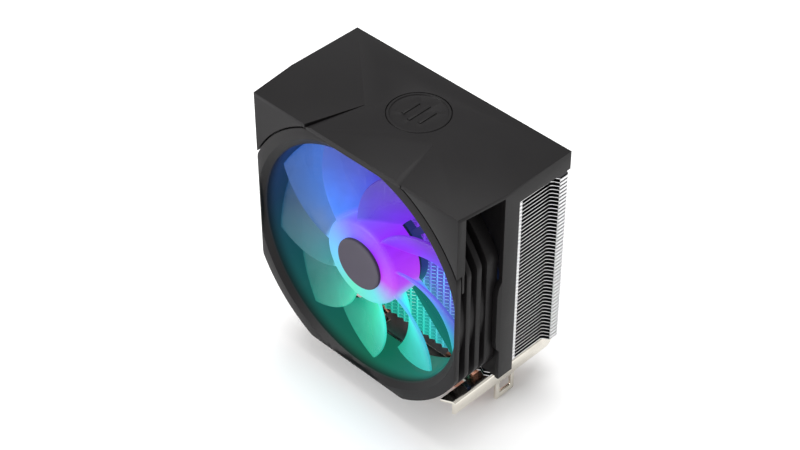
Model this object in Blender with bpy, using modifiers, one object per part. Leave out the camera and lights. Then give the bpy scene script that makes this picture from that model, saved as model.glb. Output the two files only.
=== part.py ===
"""Single-tower CPU cooler with a lit 120 mm fan, as separate pieces that fit together.

Metres, +Z up. The origin is the centre of the contact face under the base. Air goes along +Y: in
through the fan at the front, and out through the fins.
"""

import math

import bmesh
import bpy
from mathutils import Matrix, Vector

MM = 0.001

# Clearances
SEAT = 0.3 * MM            # between pieces that touch
RUNNING = 0.1 * MM         # shaft in its sleeve
EMBED = 0.5 * MM           # how far a joined feature reaches into its neighbour
PAST = 5.0 * MM            # how far a cutter runs past what it cuts
WELD = 0.001 * MM          # points nearer than this become one

# Fan
FAN_SIZE = 120.0 * MM      # square that clips the round frame
FAN_DEPTH = 25.0 * MM
FAN_FLOOR = 14.5 * MM      # height of the fan's lowest edge
FLANGE_REACH = 6.5 * MM    # how far the round flange would pass the square
SIDE_WALL = 2.0 * MM       # between the bore and the square's side
BELL_FLARE = 3.3 * MM      # how much wider than the bore the bell's mouth is
BELL_DEPTH = 2.4 * MM
BELL_LIP = 0.8 * MM        # left between the bell's mouth and the square's side
DUCT_WALL = 1.3 * MM
RIB_EDGES = (2.8 * MM, 6.3 * MM, 8.9 * MM, 12.3 * MM, 15.2 * MM)
BACK_FLANGE = 6.7 * MM     # thickness of the flange at the fan's back
STRUT_COUNT = 4
STRUT_WIDTH = 3.0 * MM
MOTOR_PLATE = 3.8 * MM     # thickness of the motor plate and struts
MOTOR_REACH = 5.0 * MM     # how far the motor plate passes the motor's yoke
TUBE_BORE = 3.3 * MM
TUBE_WALL = 1.3 * MM
TUBE_START = 8.5 * MM
TUBE_FLOOR = 2.7 * MM      # plate left behind the bearing tube
CABLE_NOTCH = 3.0 * MM

# Impeller and motor. A front is measured back from the fan's front face, and a room is what is
# left between a piece's back and the motor plate, or the plate's floor.
HUB_REACH = 5.2 * MM       # how far the hub passes the motor's yoke
HUB_WALL = 1.5 * MM
HUB_FRONT = 3.9 * MM
HUB_ROOM = 2.0 * MM
HUB_ROUNDING = 2.0 * MM
HUB_RIB = 4.8 * MM         # depth of the ring that the yoke sits in
BLADE_COUNT = 9
BLADE_GAP = 1.5 * MM       # between a blade's tip and the bore
BLADE_FRONT = 5.2 * MM
BLADE_ROOM = 1.8 * MM
BLADE_THICKNESS = 1.3 * MM
BLADE_SWEEP = 24.0         # degrees the blade leans by, root to tip
BLADE_COVER = 0.92         # share of the turn that the blades cover
CAP_RADIUS = 12.6 * MM
CAP_THICKNESS = 1.4 * MM
YOKE_RADIUS = 16.0 * MM
YOKE_WALL = 0.8 * MM
YOKE_ROOM = 3.7 * MM
MAGNET_WALL = 1.5 * MM
MAGNET_FRONT = 7.5 * MM
MAGNET_ROOM = 4.7 * MM
SHAFT_RADIUS = 1.5 * MM
SHAFT_SIDES = 16
SHAFT_ROOM = 0.4 * MM
SLEEVE_FRONT = 9.0 * MM
SLEEVE_ROOM = 2.3 * MM
RING_THICKNESS = 0.4 * MM
STATOR_FRONT = 9.5 * MM
STATOR_ROOM = 5.7 * MM
AIR_GAP = 0.6 * MM
CORE_WALL = 1.7 * MM
POLE_COUNT = 4
POLE_WIDTH = 3.0 * MM
POLE_TIP = 1.6 * MM
COIL_BUILD = 1.4 * MM      # winding thickness round a pole
BOARD_MARGIN = 0.8 * MM    # of motor plate left round the board
BOARD_THICKNESS = 1.3 * MM
LAMP_COUNT = 6
LAMP_REACH = 1.9 * MM      # how far a lamp's middle lies outside the yoke
LAMP_SIZE = (2.6 * MM, 2.8 * MM, 1.2 * MM)

# Shroud
COVER_WALL = 2.0 * MM
COVER_FLARE = 2.9 * MM     # how far each side leans out from the front edge to the legs
COVER_BACK = 64.8 * MM     # from the fan's front face
LEG_LEAD = 0.2 * MM        # how far the leg stands in front of the fan's back
LEG_DEPTH = 8.9 * MM
LEG_FOOT = 33.2 * MM
SKIRT_DROP_FRONT = 6.8 * MM
SKIRT_DROP_BACK = 7.3 * MM
CHEEK_DEPTH = 4.8 * MM
CHEEK_GROOVE = 0.7 * MM    # dark line between the cheek and the fan's flange
WEB_THICKNESS = 1.2 * MM
WEB_OVERLAP = 3.0 * MM     # how far the web reaches inside the flange's radius
TONGUE_REACH = 2.5 * MM
TONGUE_HEIGHT = 40.0 * MM
TONGUE_DROP = 4.75 * MM    # how far the tongues' middle lies below the fan's axis
GRIP_DEPTH = 5.0 * MM
GRIP_HEIGHT = 80.0 * MM
CREASE_ENDS = ((28.0 * MM, 0.0), (20.0 * MM, 27.0 * MM))
CREASE_WIDTH = 1.3 * MM
BADGE_RADIUS = 14.0 * MM
BADGE_BACK = 39.4 * MM     # badge's centre, from the fan's front face
BADGE_THICKNESS = 0.6 * MM
BADGE_RECESS = 1.1 * MM
BADGE_BARS = 3
BADGE_BAR = (1.6 * MM, 12.0 * MM, 0.3 * MM)

# Fins
FIN_PITCH = 2.06 * MM
FIN_THICKNESS = 0.4 * MM
FIN_FLOOR = 27.2 * MM
FIN_HEADROOM = 13.0 * MM   # least space between the top fin and the cover
FIN_SIDE_ROOM = 5.6 * MM   # between a fin's side and the cover's inside
FIN_DEPTH = 43.3 * MM
EAR_REACH = 3.2 * MM
EAR_DEPTH = 6.3 * MM
EAR_SLOPE = 2.4 * MM
TAB_THICKNESS = 0.3 * MM
TAB_PROUD = 0.1 * MM
SIDE_TAB = (9.0 * MM, 17.4 * MM)

# Heat pipes and base
PIPE_RADIUS = 3.0 * MM
PIPE_SPACE = 1.5 * MM      # between two pipes
PIPE_FLAT = 0.5 * MM       # how much of the pipe's underside is milled away
PIPE_HEADROOM = 1.8 * MM   # between a pipe's tip and the cover
PIPE_ARMS = (40.0 * MM, 30.0 * MM, 40.0 * MM, 30.0 * MM)
PIPE_BENDS = (14.0 * MM, 11.0 * MM, 14.0 * MM, 11.0 * MM)
BEND_STEPS = 6
CHANNEL_SIDES = 16
HOLE_SIDES = 12
CHANNEL_EDGE = 0.25 * MM   # between the outer channels and the bracket's arms
BASE_WIDTH = 38.0 * MM
BASE_HEIGHT = 9.0 * MM

# Mounting brackets
SHEET = 1.5 * MM
BAR_TOP = 18.5 * MM
BAR_FRONT = 32.8 * MM      # how far the flange reaches forward from the middle of the base
BAR_BACK = 31.0 * MM
BAR_SLANT = 3.2 * MM       # how much further forward the bar's inner edge reaches
BAR_OUTER = 50.0 * MM
BAR_BEND = 2.0 * MM        # outer radius of the fold between the bar's top and its flange
FLANGE_HEIGHT = 7.6 * MM
FLANGE_CORNER = 4.0 * MM
ARM_WIDTH = 4.9 * MM
ARM_END = 8.0 * MM
SCREW_X = 12.0 * MM
SCREW_RADIUS = 1.25 * MM
SCREW_LENGTH = 6.0 * MM
SCREW_HEAD = (2.2 * MM, 1.6 * MM)
SCREW_SOCKET = (1.0 * MM, 0.8 * MM)
HOOK_WIDTH = 12.0 * MM
HOOK_BOTTOM = 0.5 * MM
HOOK_WINDOW = (7.2 * MM, 3.6 * MM, 10.2 * MM)

# Worked out from the sizes above
FAN_HALF = FAN_SIZE / 2
FAN_TOP = FAN_FLOOR + FAN_SIZE
FAN_CENTRE = FAN_FLOOR + FAN_HALF
FLANGE_RADIUS = FAN_HALF + FLANGE_REACH
BORE_RADIUS = FAN_HALF - SIDE_WALL
BELL_RADIUS = BORE_RADIUS + BELL_FLARE
BELL_HALF = FAN_HALF - BELL_LIP
BLADE_TIP = BORE_RADIUS - BLADE_GAP
HUB_RADIUS = YOKE_RADIUS + HUB_REACH
MOTOR_RADIUS = YOKE_RADIUS + MOTOR_REACH
BOARD_RADIUS = MOTOR_RADIUS - BOARD_MARGIN
LAMP_RADIUS = YOKE_RADIUS + LAMP_REACH
MOTOR_FRONT = FAN_DEPTH - MOTOR_PLATE
HUB_BACK = MOTOR_FRONT - HUB_ROOM
BLADE_BACK = MOTOR_FRONT - BLADE_ROOM
YOKE_BACK = MOTOR_FRONT - YOKE_ROOM
MAGNET_DEPTHS = (MAGNET_FRONT, MOTOR_FRONT - MAGNET_ROOM)
STATOR_DEPTHS = (STATOR_FRONT, MOTOR_FRONT - STATOR_ROOM)
SLEEVE_DEPTHS = (SLEEVE_FRONT, FAN_DEPTH - TUBE_FLOOR - SLEEVE_ROOM)
SHAFT_BACK = FAN_DEPTH - TUBE_FLOOR - SHAFT_ROOM
COVER_UNDERSIDE = FAN_TOP + SEAT
COVER_TOP = COVER_UNDERSIDE + COVER_WALL
COVER_HALF_WIDTH = FAN_HALF + COVER_FLARE
COVER_INSIDE = COVER_HALF_WIDTH - COVER_WALL
WEB_RADIUS = FLANGE_RADIUS - WEB_OVERLAP
FIN_HALF_WIDTH = COVER_INSIDE - FIN_SIDE_ROOM
EAR_HALF_WIDTH = FIN_HALF_WIDTH + EAR_REACH
FIN_COUNT = 1 + int((COVER_UNDERSIDE - FIN_HEADROOM - FIN_THICKNESS - FIN_FLOOR) / FIN_PITCH)
FIN_TOP = FIN_FLOOR + (FIN_COUNT - 1) * FIN_PITCH + FIN_THICKNESS
PIPE_TOP = COVER_UNDERSIDE - PIPE_HEADROOM
PIPE_PITCH = 2 * PIPE_RADIUS + PIPE_SPACE
PIPE_SPREAD = PIPE_PITCH * (len(PIPE_ARMS) - 1) / 2
ARM_INNER = PIPE_SPREAD + PIPE_RADIUS + SEAT + CHANNEL_EDGE
BASE_HALF_LENGTH = ARM_INNER + ARM_WIDTH
FAN_BACK_Y = -(BASE_HALF_LENGTH + SEAT)
FAN_FRONT_Y = FAN_BACK_Y - FAN_DEPTH
WEB_FRONT_Y = FAN_BACK_Y + SEAT
WEB_BACK_Y = WEB_FRONT_Y + WEB_THICKNESS
FIN_FRONT_Y = WEB_BACK_Y + SEAT
FIN_BACK_Y = FIN_FRONT_Y + FIN_DEPTH
LEG_FRONT_Y = FAN_BACK_Y - LEG_LEAD
COVER_BACK_Y = FAN_FRONT_Y + COVER_BACK
CHANNEL_RADIUS = (PIPE_RADIUS + SEAT) / math.cos(math.pi / CHANNEL_SIDES)
PIPE_AXIS_Z = PIPE_RADIUS - PIPE_FLAT
BAR_INNER = max(PIPE_ARMS) + PIPE_RADIUS + 2 * SEAT
PAD_TOP = BAR_TOP - SHEET - SEAT
TUBE_RADIUS = TUBE_BORE + TUBE_WALL
MAGNET_OUTER = YOKE_RADIUS - YOKE_WALL - SEAT
MAGNET_INNER = MAGNET_OUTER - MAGNET_WALL
STATOR_RADIUS = MAGNET_INNER - AIR_GAP
BOARD_BACK = MOTOR_FRONT - SEAT
BOARD_FRONT = BOARD_BACK - BOARD_THICKNESS


# ------------------------------------------------------------------ scene and materials
def clear_scene():
    for obj in list(bpy.data.objects):
        bpy.data.objects.remove(obj, do_unlink=True)


def make_collection(name):
    made = bpy.data.collections.new(name)
    bpy.context.scene.collection.children.link(made)
    return made


def make_material(name, colour, metallic, roughness):
    made = bpy.data.materials.new(name)
    made.use_nodes = True
    shader = made.node_tree.nodes["Principled BSDF"]
    shader.inputs["Base Color"].default_value = (*colour, 1.0)
    shader.inputs["Metallic"].default_value = metallic
    shader.inputs["Roughness"].default_value = roughness
    return made


clear_scene()
PARTS = make_collection("cpu_tower_cooler")
CUTTERS = make_collection("cutters")

BLACK_PLASTIC = make_material("black_plastic", (0.022, 0.021, 0.022), 0.0, 0.42)
CAP_PLASTIC = make_material("cap_plastic", (0.05, 0.045, 0.06), 0.0, 0.6)
FROSTED = make_material("frosted_plastic", (0.45, 0.62, 0.75), 0.0, 0.35)
ALUMINIUM = make_material("aluminium", (0.78, 0.78, 0.79), 1.0, 0.3)
COPPER = make_material("copper", (0.83, 0.42, 0.30), 1.0, 0.2)
NICKEL = make_material("nickel", (0.80, 0.76, 0.68), 1.0, 0.18)
STEEL = make_material("steel", (0.42, 0.42, 0.44), 1.0, 0.4)
MAGNET = make_material("magnet", (0.09, 0.09, 0.09), 0.2, 0.7)
BRONZE = make_material("bronze", (0.50, 0.33, 0.16), 1.0, 0.4)
WINDING = make_material("winding", (0.60, 0.25, 0.10), 0.8, 0.35)
BOARD_GREEN = make_material("board_green", (0.02, 0.09, 0.04), 0.0, 0.5)
LAMP_WHITE = make_material("lamp_white", (0.85, 0.85, 0.80), 0.0, 0.3)


# ------------------------------------------------------------------ building blocks
def part(name, mesh, material, home=None, smooth=False):
    """A visible piece. home is the empty that a moving piece hangs from."""
    obj = bpy.data.objects.new(name, mesh)
    PARTS.objects.link(obj)
    obj.parent = home
    mesh.materials.clear()
    mesh.materials.append(material)
    if smooth:
        mesh.shade_smooth()
        mesh.set_sharp_from_angle(angle=math.radians(35))
    return obj


def helper(name, mesh, home=None):
    """A piece that only cuts another, or is joined to it."""
    obj = bpy.data.objects.new(name, mesh)
    CUTTERS.objects.link(obj)
    obj.parent = home
    obj.hide_render = True
    obj.display_type = "WIRE"
    return obj


def change(obj, operation, others):
    for other in others:
        modifier = obj.modifiers.new(other.name, "BOOLEAN")
        modifier.operation = operation
        modifier.solver = "EXACT"
        modifier.object = other


def cut(obj, *others):
    change(obj, "DIFFERENCE", others)


def join(obj, *others):
    change(obj, "UNION", others)


def keep(obj, *others):
    """Leave only what lies inside every one of the others."""
    change(obj, "INTERSECT", others)


def mesh_from(name, shape):
    mesh = bpy.data.meshes.new(name)
    shape.to_mesh(mesh)
    shape.free()
    return mesh


def box(name, low, high, turn=None):
    """A box between two corners, then turned by a matrix if one is given."""
    size = [b - a for a, b in zip(low, high)]
    middle = [(a + b) / 2 for a, b in zip(low, high)]
    place = Matrix.Translation(middle) @ Matrix.Diagonal((*size, 1.0))
    shape = bmesh.new()
    bmesh.ops.create_cube(shape, size=1.0, matrix=(turn or Matrix()) @ place)
    return mesh_from(name, shape)


def rod(name, radius, start, end, sides=24, end_radius=None):
    """A round bar, or a cone, from one point to another."""
    start = Vector(start)
    along = Vector(end) - start
    place = Matrix.Translation(start + along / 2) @ along.to_track_quat("Z", "Y").to_matrix().to_4x4()
    shape = bmesh.new()
    bmesh.ops.create_cone(
        shape,
        cap_ends=True,
        segments=sides,
        radius1=radius,
        radius2=radius if end_radius is None else end_radius,
        depth=along.length,
        matrix=place,
    )
    return mesh_from(name, shape)


def bars(name, meshes):
    """Several meshes that don't touch, as one helper mesh."""
    shape = bmesh.new()
    for mesh in meshes:
        shape.from_mesh(mesh)
        bpy.data.meshes.remove(mesh)
    return mesh_from(name, shape)


def frozen(name, guide):
    """The mesh that an object's curve or modifiers give, welded, in place of the object."""
    CUTTERS.objects.link(guide)
    graph = bpy.context.evaluated_depsgraph_get()
    mesh = bpy.data.meshes.new_from_object(guide.evaluated_get(graph))
    bpy.data.objects.remove(guide)
    shape = bmesh.new()
    shape.from_mesh(mesh)
    bmesh.ops.remove_doubles(shape, verts=shape.verts, dist=WELD)
    bmesh.ops.recalc_face_normals(shape, faces=shape.faces)
    bpy.data.meshes.remove(mesh)
    return mesh_from(name, shape)


def curve_mesh(name, curve):
    return frozen(name, bpy.data.objects.new(name + "_guide", curve))


def plate(name, loops, low, high, turn=None):
    """A flat outline with holes, extruded from one height to another along Z, then turned."""
    curve = bpy.data.curves.new(name, "CURVE")
    curve.dimensions = "2D"
    curve.fill_mode = "BOTH"
    curve.extrude = (high - low) / 2
    for loop in loops:
        spline = curve.splines.new("POLY")
        spline.points.add(len(loop) - 1)
        for point, (x, y) in zip(spline.points, loop):
            point.co = (x, y, 0.0, 1.0)
        spline.use_cyclic_u = True
    mesh = curve_mesh(name, curve)
    mesh.transform((turn or Matrix()) @ Matrix.Translation((0.0, 0.0, (low + high) / 2)))
    return mesh


def turned(name, profile, sides=32, closed=False):
    """A profile of (radius, height) points spun about Z. It runs down its outer side."""
    outline = bpy.data.meshes.new(name)
    shape = bmesh.new()
    points = [shape.verts.new((radius, 0.0, height)) for radius, height in profile]
    for first, second in zip(points, points[1:]):
        shape.edges.new((first, second))
    if closed:
        shape.edges.new((points[-1], points[0]))
    shape.to_mesh(outline)
    shape.free()
    guide = bpy.data.objects.new(name + "_guide", outline)
    screw = guide.modifiers.new("turn", "SCREW")
    screw.steps = sides
    screw.render_steps = sides
    screw.use_merge_vertices = True
    screw.merge_threshold = WELD
    return frozen(name, guide)


def washer(name, inner, outer, front, back, sides=32):
    """A ring round the fan's axis, with depths measured back from the fan's front face."""
    profile = [(outer, -front), (outer, -back), (inner, -back), (inner, -front)]
    return turned(name, profile, sides, closed=True)


def arc(radius, start, end, steps):
    """Points on a circle about the origin, from one angle to another in degrees."""
    angles = [math.radians(start + (end - start) * step / steps) for step in range(steps + 1)]
    return [(radius * math.cos(angle), radius * math.sin(angle)) for angle in angles]


def mirrored(points):
    """A right-hand outline from its lowest y to its highest, closed by its mirror image."""
    return points + [(-x, y) for x, y in reversed(points)]


TO_YZ = Matrix(((0, 0, 1, 0), (1, 0, 0, 0), (0, 1, 0, 0), (0, 0, 0, 1)))
TO_XZ = Matrix(((1, 0, 0, 0), (0, 0, -1, 0), (0, 1, 0, 0), (0, 0, 0, 1)))


# ------------------------------------------------------------------ fins, pipes and base
def pipe_rows():
    """Each heat pipe's y, arm distance and bend radius."""
    rows = enumerate(zip(PIPE_ARMS, PIPE_BENDS))
    return [(PIPE_PITCH * row - PIPE_SPREAD, *sizes) for row, sizes in rows]


def make_fin_stack():
    back = FIN_BACK_Y
    right = [
        (FIN_HALF_WIDTH, FIN_FRONT_Y),
        (FIN_HALF_WIDTH, back - EAR_DEPTH - EAR_SLOPE),
        (EAR_HALF_WIDTH, back - EAR_DEPTH),
        (EAR_HALF_WIDTH, back),
    ]
    fin = plate("fin", [mirrored(right)], 0.0, FIN_THICKNESS)
    shape = bmesh.new()
    for index in range(FIN_COUNT):
        copy = fin.copy()
        copy.transform(Matrix.Translation((0.0, 0.0, FIN_FLOOR + FIN_PITCH * index)))
        shape.from_mesh(copy)
        bpy.data.meshes.remove(copy)
    bpy.data.meshes.remove(fin)
    stack = part("fin_stack", mesh_from("fin_stack", shape), ALUMINIUM)
    tabs = []
    outside = FIN_HALF_WIDTH + TAB_PROUD
    for side in (-1, 1):
        edges = sorted((side * outside, side * (outside - TAB_THICKNESS)))
        low = (edges[0], FIN_FRONT_Y + SIDE_TAB[0], FIN_FLOOR + FIN_THICKNESS / 2)
        high = (edges[1], FIN_FRONT_Y + SIDE_TAB[1], FIN_TOP - FIN_THICKNESS / 2)
        tabs.append(box("tab", low, high))
    join(stack, helper("folded_tabs", bars("folded_tabs", tabs)))
    half = PIPE_RADIUS + SEAT
    holes = []
    for y, arm, _ in pipe_rows():
        for x in (-arm, arm):
            low = (x - half, y - half, FIN_FLOOR - PAST)
            holes.append(box("pipe_hole", low, (x + half, y + half, FIN_TOP + PAST)))
    cut(stack, helper("pipe_holes", bars("pipe_holes", holes)))


def pipe_points(arm, bend):
    """Half of a pipe's centre line in the X-Z plane, from the middle of the base to the tip."""
    centre_x = arm - bend
    centre_z = PIPE_AXIS_Z + bend
    turn = [(centre_x + x, centre_z + z) for x, z in arc(bend, -90, 0, BEND_STEPS)]
    return [*turn, (arm, PIPE_TOP)]


def make_heat_pipes():
    ground = helper(
        "pipe_mill",
        box(
            "pipe_mill",
            (-BASE_WIDTH, -BASE_WIDTH, -BASE_HEIGHT),
            (BASE_WIDTH, BASE_WIDTH, 0.0),
        ),
    )
    for number, (y, arm, bend) in enumerate(pipe_rows(), start=1):
        half = pipe_points(arm, bend)
        line = [(-x, z) for x, z in reversed(half)] + half
        curve = bpy.data.curves.new("pipe", "CURVE")
        curve.dimensions = "3D"
        curve.bevel_depth = PIPE_RADIUS
        curve.bevel_resolution = 2
        curve.use_fill_caps = True
        spline = curve.splines.new("POLY")
        spline.points.add(len(line) - 1)
        for point, (x, z) in zip(spline.points, line):
            point.co = (x, y, z, 1.0)
        pipe = part(f"heat_pipe_{number}", curve_mesh("pipe", curve), COPPER, smooth=True)
        cut(pipe, ground)


def make_base():
    half = BASE_WIDTH / 2
    base = part(
        "base_block",
        box("base_block", (-half, -BASE_HALF_LENGTH, 0.0), (half, BASE_HALF_LENGTH, BASE_HEIGHT)),
        ALUMINIUM,
    )
    for side in (-1, 1):
        edges = sorted((side * ARM_INNER, side * BASE_HALF_LENGTH))
        low = (-half, edges[0], BASE_HEIGHT - EMBED)
        join(base, helper("base_pad", box("base_pad", low, (half, edges[1], PAD_TOP))))
    for y, _, _ in pipe_rows():
        start = (-half - PAST, y, PIPE_AXIS_Z)
        end = (half + PAST, y, PIPE_AXIS_Z)
        cut(base, helper("channel", rod("channel", CHANNEL_RADIUS, start, end, CHANNEL_SIDES)))
        low = (-half - PAST, y - PIPE_RADIUS - SEAT, -PAST)
        high = (half + PAST, y + PIPE_RADIUS + SEAT, PIPE_AXIS_Z)
        cut(base, helper("channel_mouth", box("channel_mouth", low, high)))
    for x, y in screw_places():
        bottom = PAD_TOP - SCREW_LENGTH
        hole = rod("screw_hole", SCREW_RADIUS + SEAT, (x, y, bottom), (x, y, PAD_TOP + PAST), HOLE_SIDES)
        cut(base, helper("screw_hole", hole))


# ------------------------------------------------------------------ brackets
def screw_places():
    y = BASE_HALF_LENGTH - ARM_WIDTH / 2
    return [(side * SCREW_X, end * y) for side in (-1, 1) for end in (-1, 1)]


def make_bracket(side, label):
    """A folded bar along Y with a hook hanging from its flange, and two arms over the base."""
    z = BAR_TOP - SHEET
    fold = arc(BAR_BEND, 0, 90, 4)
    section = [
        (BAR_INNER, z),
        (BAR_OUTER - SHEET, z),
        (BAR_OUTER - SHEET, 0.0),
        (BAR_OUTER, 0.0),
        *[(BAR_OUTER - BAR_BEND + x, BAR_TOP - BAR_BEND + y) for x, y in fold],
        (BAR_INNER, BAR_TOP),
    ]
    section = [(side * x, height) for x, height in section]
    long = BAR_FRONT + BAR_SLANT + PAST
    bracket = part(f"bracket_{label}", plate("bracket", [section], -long, long, TO_XZ), NICKEL)
    wide = sorted((side * (BAR_INNER - PAST), side * (BAR_OUTER + PAST)))
    outline = helper("side_outline", plate("side_outline", side_loops(), *wide, TO_YZ))
    slope = BAR_SLANT / (BAR_OUTER - BAR_INNER)
    plan = [
        (side * (BAR_INNER - PAST), -BAR_FRONT - BAR_SLANT - slope * PAST),
        (side * (BAR_OUTER + PAST), -BAR_FRONT + slope * PAST),
        (side * (BAR_OUTER + PAST), long),
        (side * (BAR_INNER - PAST), long),
    ]
    keep(bracket, outline, helper("plan", plate("plan", [plan], -PAST, BAR_TOP + PAST)))
    for end in (-1, 1):
        near, far = sorted((side * ARM_END, side * (BAR_INNER + EMBED)))
        inner, outer = sorted((end * ARM_INNER, end * BASE_HALF_LENGTH))
        join(bracket, helper("arm", box("arm", (near, inner, z), (far, outer, BAR_TOP))))
    for x, y in screw_places():
        if x * side > 0:
            hole = rod("hole", SCREW_RADIUS + SEAT, (x, y, z - PAST), (x, y, BAR_TOP + PAST), HOLE_SIDES)
            cut(bracket, helper("arm_hole", hole))


def side_loops():
    """The bracket seen from its side: the flange with its hook, and the hook's window."""
    drop = BAR_TOP - FLANGE_HEIGHT
    half = HOOK_WIDTH / 2
    corner = arc(FLANGE_CORNER, -90, 0, 6)
    front = -BAR_FRONT - BAR_SLANT - 2 * PAST
    outline = [
        (front, drop),
        (-half, drop),
        (-half, HOOK_BOTTOM),
        (half, HOOK_BOTTOM),
        (half, drop),
        *[(BAR_BACK - FLANGE_CORNER + x, drop + FLANGE_CORNER + y) for x, y in corner],
        (BAR_BACK, BAR_TOP + PAST),
        (front, BAR_TOP + PAST),
    ]
    width, low, high = HOOK_WINDOW
    window = [(-width / 2, low), (width / 2, low), (width / 2, high), (-width / 2, high)]
    return [outline, window]


def make_screws():
    for number, (x, y) in enumerate(screw_places(), start=1):
        head_radius, head_height = SCREW_HEAD
        socket_radius, socket_depth = SCREW_SOCKET
        head = BAR_TOP + SEAT
        top = head + head_height
        tip = PAD_TOP - SCREW_LENGTH + SEAT
        screw = part(
            f"bracket_screw_{number}",
            rod("screw", head_radius, (x, y, head), (x, y, top), 16),
            STEEL,
            smooth=True,
        )
        shank = rod("shank", SCREW_RADIUS, (x, y, tip), (x, y, head + EMBED), 8)
        join(screw, helper("shank", shank))
        socket = rod("socket", socket_radius, (x, y, top - socket_depth), (x, y, top + PAST), 6)
        cut(screw, helper("socket", socket))


# ------------------------------------------------------------------ shroud
def make_shroud():
    front = FAN_FRONT_Y
    back = COVER_BACK_Y
    top_view = mirrored(
        [(FAN_HALF, front), (COVER_HALF_WIDTH, LEG_FRONT_Y), (COVER_HALF_WIDTH, back)]
    )
    shroud = part("shroud", plate("shroud", [top_view], LEG_FOOT, COVER_TOP), BLACK_PLASTIC)

    wide = COVER_HALF_WIDTH + PAST
    low = (-COVER_INSIDE, front - PAST, LEG_FOOT - PAST)
    cut(shroud, helper("inside", box("inside", low, (COVER_INSIDE, back + PAST, COVER_UNDERSIDE))))
    low = (-wide, front - PAST, LEG_FOOT - PAST)
    cut(shroud, helper("front_room", box("front_room", low, (wide, LEG_FRONT_Y, COVER_UNDERSIDE))))
    leg_back = LEG_FRONT_Y + LEG_DEPTH
    under_skirt = [
        (leg_back, LEG_FOOT - PAST),
        (back + PAST, LEG_FOOT - PAST),
        (back + PAST, COVER_UNDERSIDE - SKIRT_DROP_BACK),
        (leg_back, COVER_UNDERSIDE - SKIRT_DROP_FRONT),
    ]
    cut(shroud, helper("under_skirt", plate("under_skirt", [under_skirt], -wide, wide, TO_YZ)))
    make_cheeks(shroud)
    make_webs(shroud)
    make_side_features(shroud)
    make_creases(shroud)
    place = (0.0, front + BADGE_BACK)
    start = (*place, COVER_TOP - BADGE_RECESS)
    pocket = rod("pocket", BADGE_RADIUS + SEAT, start, (*place, COVER_TOP + PAST), 40)
    cut(shroud, helper("badge_pocket", pocket))


def make_cheeks(shroud):
    """Front corners that fill in between the square cover and the fan's round flange."""
    low = (-FAN_HALF, FAN_FRONT_Y, FAN_CENTRE)
    high = (FAN_HALF, FAN_FRONT_Y + CHEEK_DEPTH, COVER_UNDERSIDE + EMBED)
    cheeks = helper("cheeks", box("cheeks", low, high))
    start = (0.0, FAN_FRONT_Y - PAST, FAN_CENTRE)
    end = (0.0, FAN_FRONT_Y + CHEEK_DEPTH + PAST, FAN_CENTRE)
    cut(cheeks, helper("cheek_round", rod("round", FLANGE_RADIUS + CHEEK_GROOVE, start, end, 72)))
    join(shroud, cheeks)


def make_webs(shroud):
    """Thin corner walls behind the fan, which stop the fin stack and lead the air into it."""
    half = COVER_INSIDE + EMBED
    low = (-half, WEB_FRONT_Y, LEG_FOOT)
    webs = helper("webs", box("webs", low, (half, WEB_BACK_Y, COVER_UNDERSIDE + EMBED)))
    start = (0.0, WEB_FRONT_Y - PAST, FAN_CENTRE)
    end = (0.0, WEB_BACK_Y + PAST, FAN_CENTRE)
    cut(webs, helper("web_round", rod("round", WEB_RADIUS, start, end, 64)))
    join(shroud, webs)


def make_side_features(shroud):
    """Tongues beside the fan's back flange, and ribs that grip the sides of the fins."""
    middle = FAN_CENTRE - TONGUE_DROP
    half = TONGUE_HEIGHT / 2
    slope = 2 * TONGUE_REACH
    tip = LEG_FRONT_Y - TONGUE_REACH
    tongue = [
        (LEG_FRONT_Y + EMBED, middle - half),
        (LEG_FRONT_Y + EMBED, middle + half),
        (LEG_FRONT_Y, middle + half),
        (tip, middle + half - slope),
        (tip, middle - half + slope),
        (LEG_FRONT_Y, middle - half),
    ]
    grip_front = WEB_BACK_Y + GRIP_DEPTH / 4
    grip_middle = (LEG_FOOT + COVER_UNDERSIDE) / 2
    for side in (-1, 1):
        faces = sorted((side * (FAN_HALF + SEAT), side * COVER_HALF_WIDTH))
        join(shroud, helper("tongue", plate("tongue", [tongue], *faces, TO_YZ)))
        near, far = sorted((side * (FIN_HALF_WIDTH + SEAT), side * (COVER_INSIDE + EMBED)))
        low = (near, grip_front, grip_middle - GRIP_HEIGHT / 2)
        high = (far, grip_front + GRIP_DEPTH, grip_middle + GRIP_HEIGHT / 2)
        join(shroud, helper("grip", box("grip", low, high)))


def make_creases(shroud):
    """Two tapered grooves in the top, deepest at the front edge."""
    (start_x, start_y), (end_x, end_y) = CREASE_ENDS
    for side in (-1, 1):
        start = Vector((side * start_x, FAN_FRONT_Y + start_y, COVER_TOP))
        end = Vector((side * end_x, FAN_FRONT_Y + end_y, COVER_TOP))
        before = start + (start - end).normalized() * CREASE_WIDTH
        groove = rod("crease", CREASE_WIDTH, before, end, 4, end_radius=0.05 * MM)
        cut(shroud, helper("crease", groove))


def make_badge():
    """A plain round insert with raised bars."""
    place = (0.0, FAN_FRONT_Y + BADGE_BACK)
    bottom = COVER_TOP - BADGE_RECESS + SEAT
    top = bottom + BADGE_THICKNESS
    disc = rod("badge", BADGE_RADIUS, (*place, bottom), (*place, top), 40)
    badge = part("badge", disc, BLACK_PLASTIC)
    width, length, height = BADGE_BAR
    for index in range(BADGE_BARS):
        x = (index - (BADGE_BARS - 1) / 2) * 3 * width
        low = (x - width / 2, place[1] - length / 2, top - EMBED / 2)
        high = (x + width / 2, place[1] + length / 2, top + height)
        join(badge, helper("badge_bar", box("badge_bar", low, high)))


# ------------------------------------------------------------------ fan
def make_fan_axis(name):
    """An empty on the fan's axis at its front face: its own +Z points forward, along -Y."""
    axis = bpy.data.objects.new(name, None)
    PARTS.objects.link(axis)
    axis.location = (0.0, FAN_FRONT_Y, FAN_CENTRE)
    axis.rotation_euler = (math.pi / 2, 0.0, 0.0)
    return axis


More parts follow.
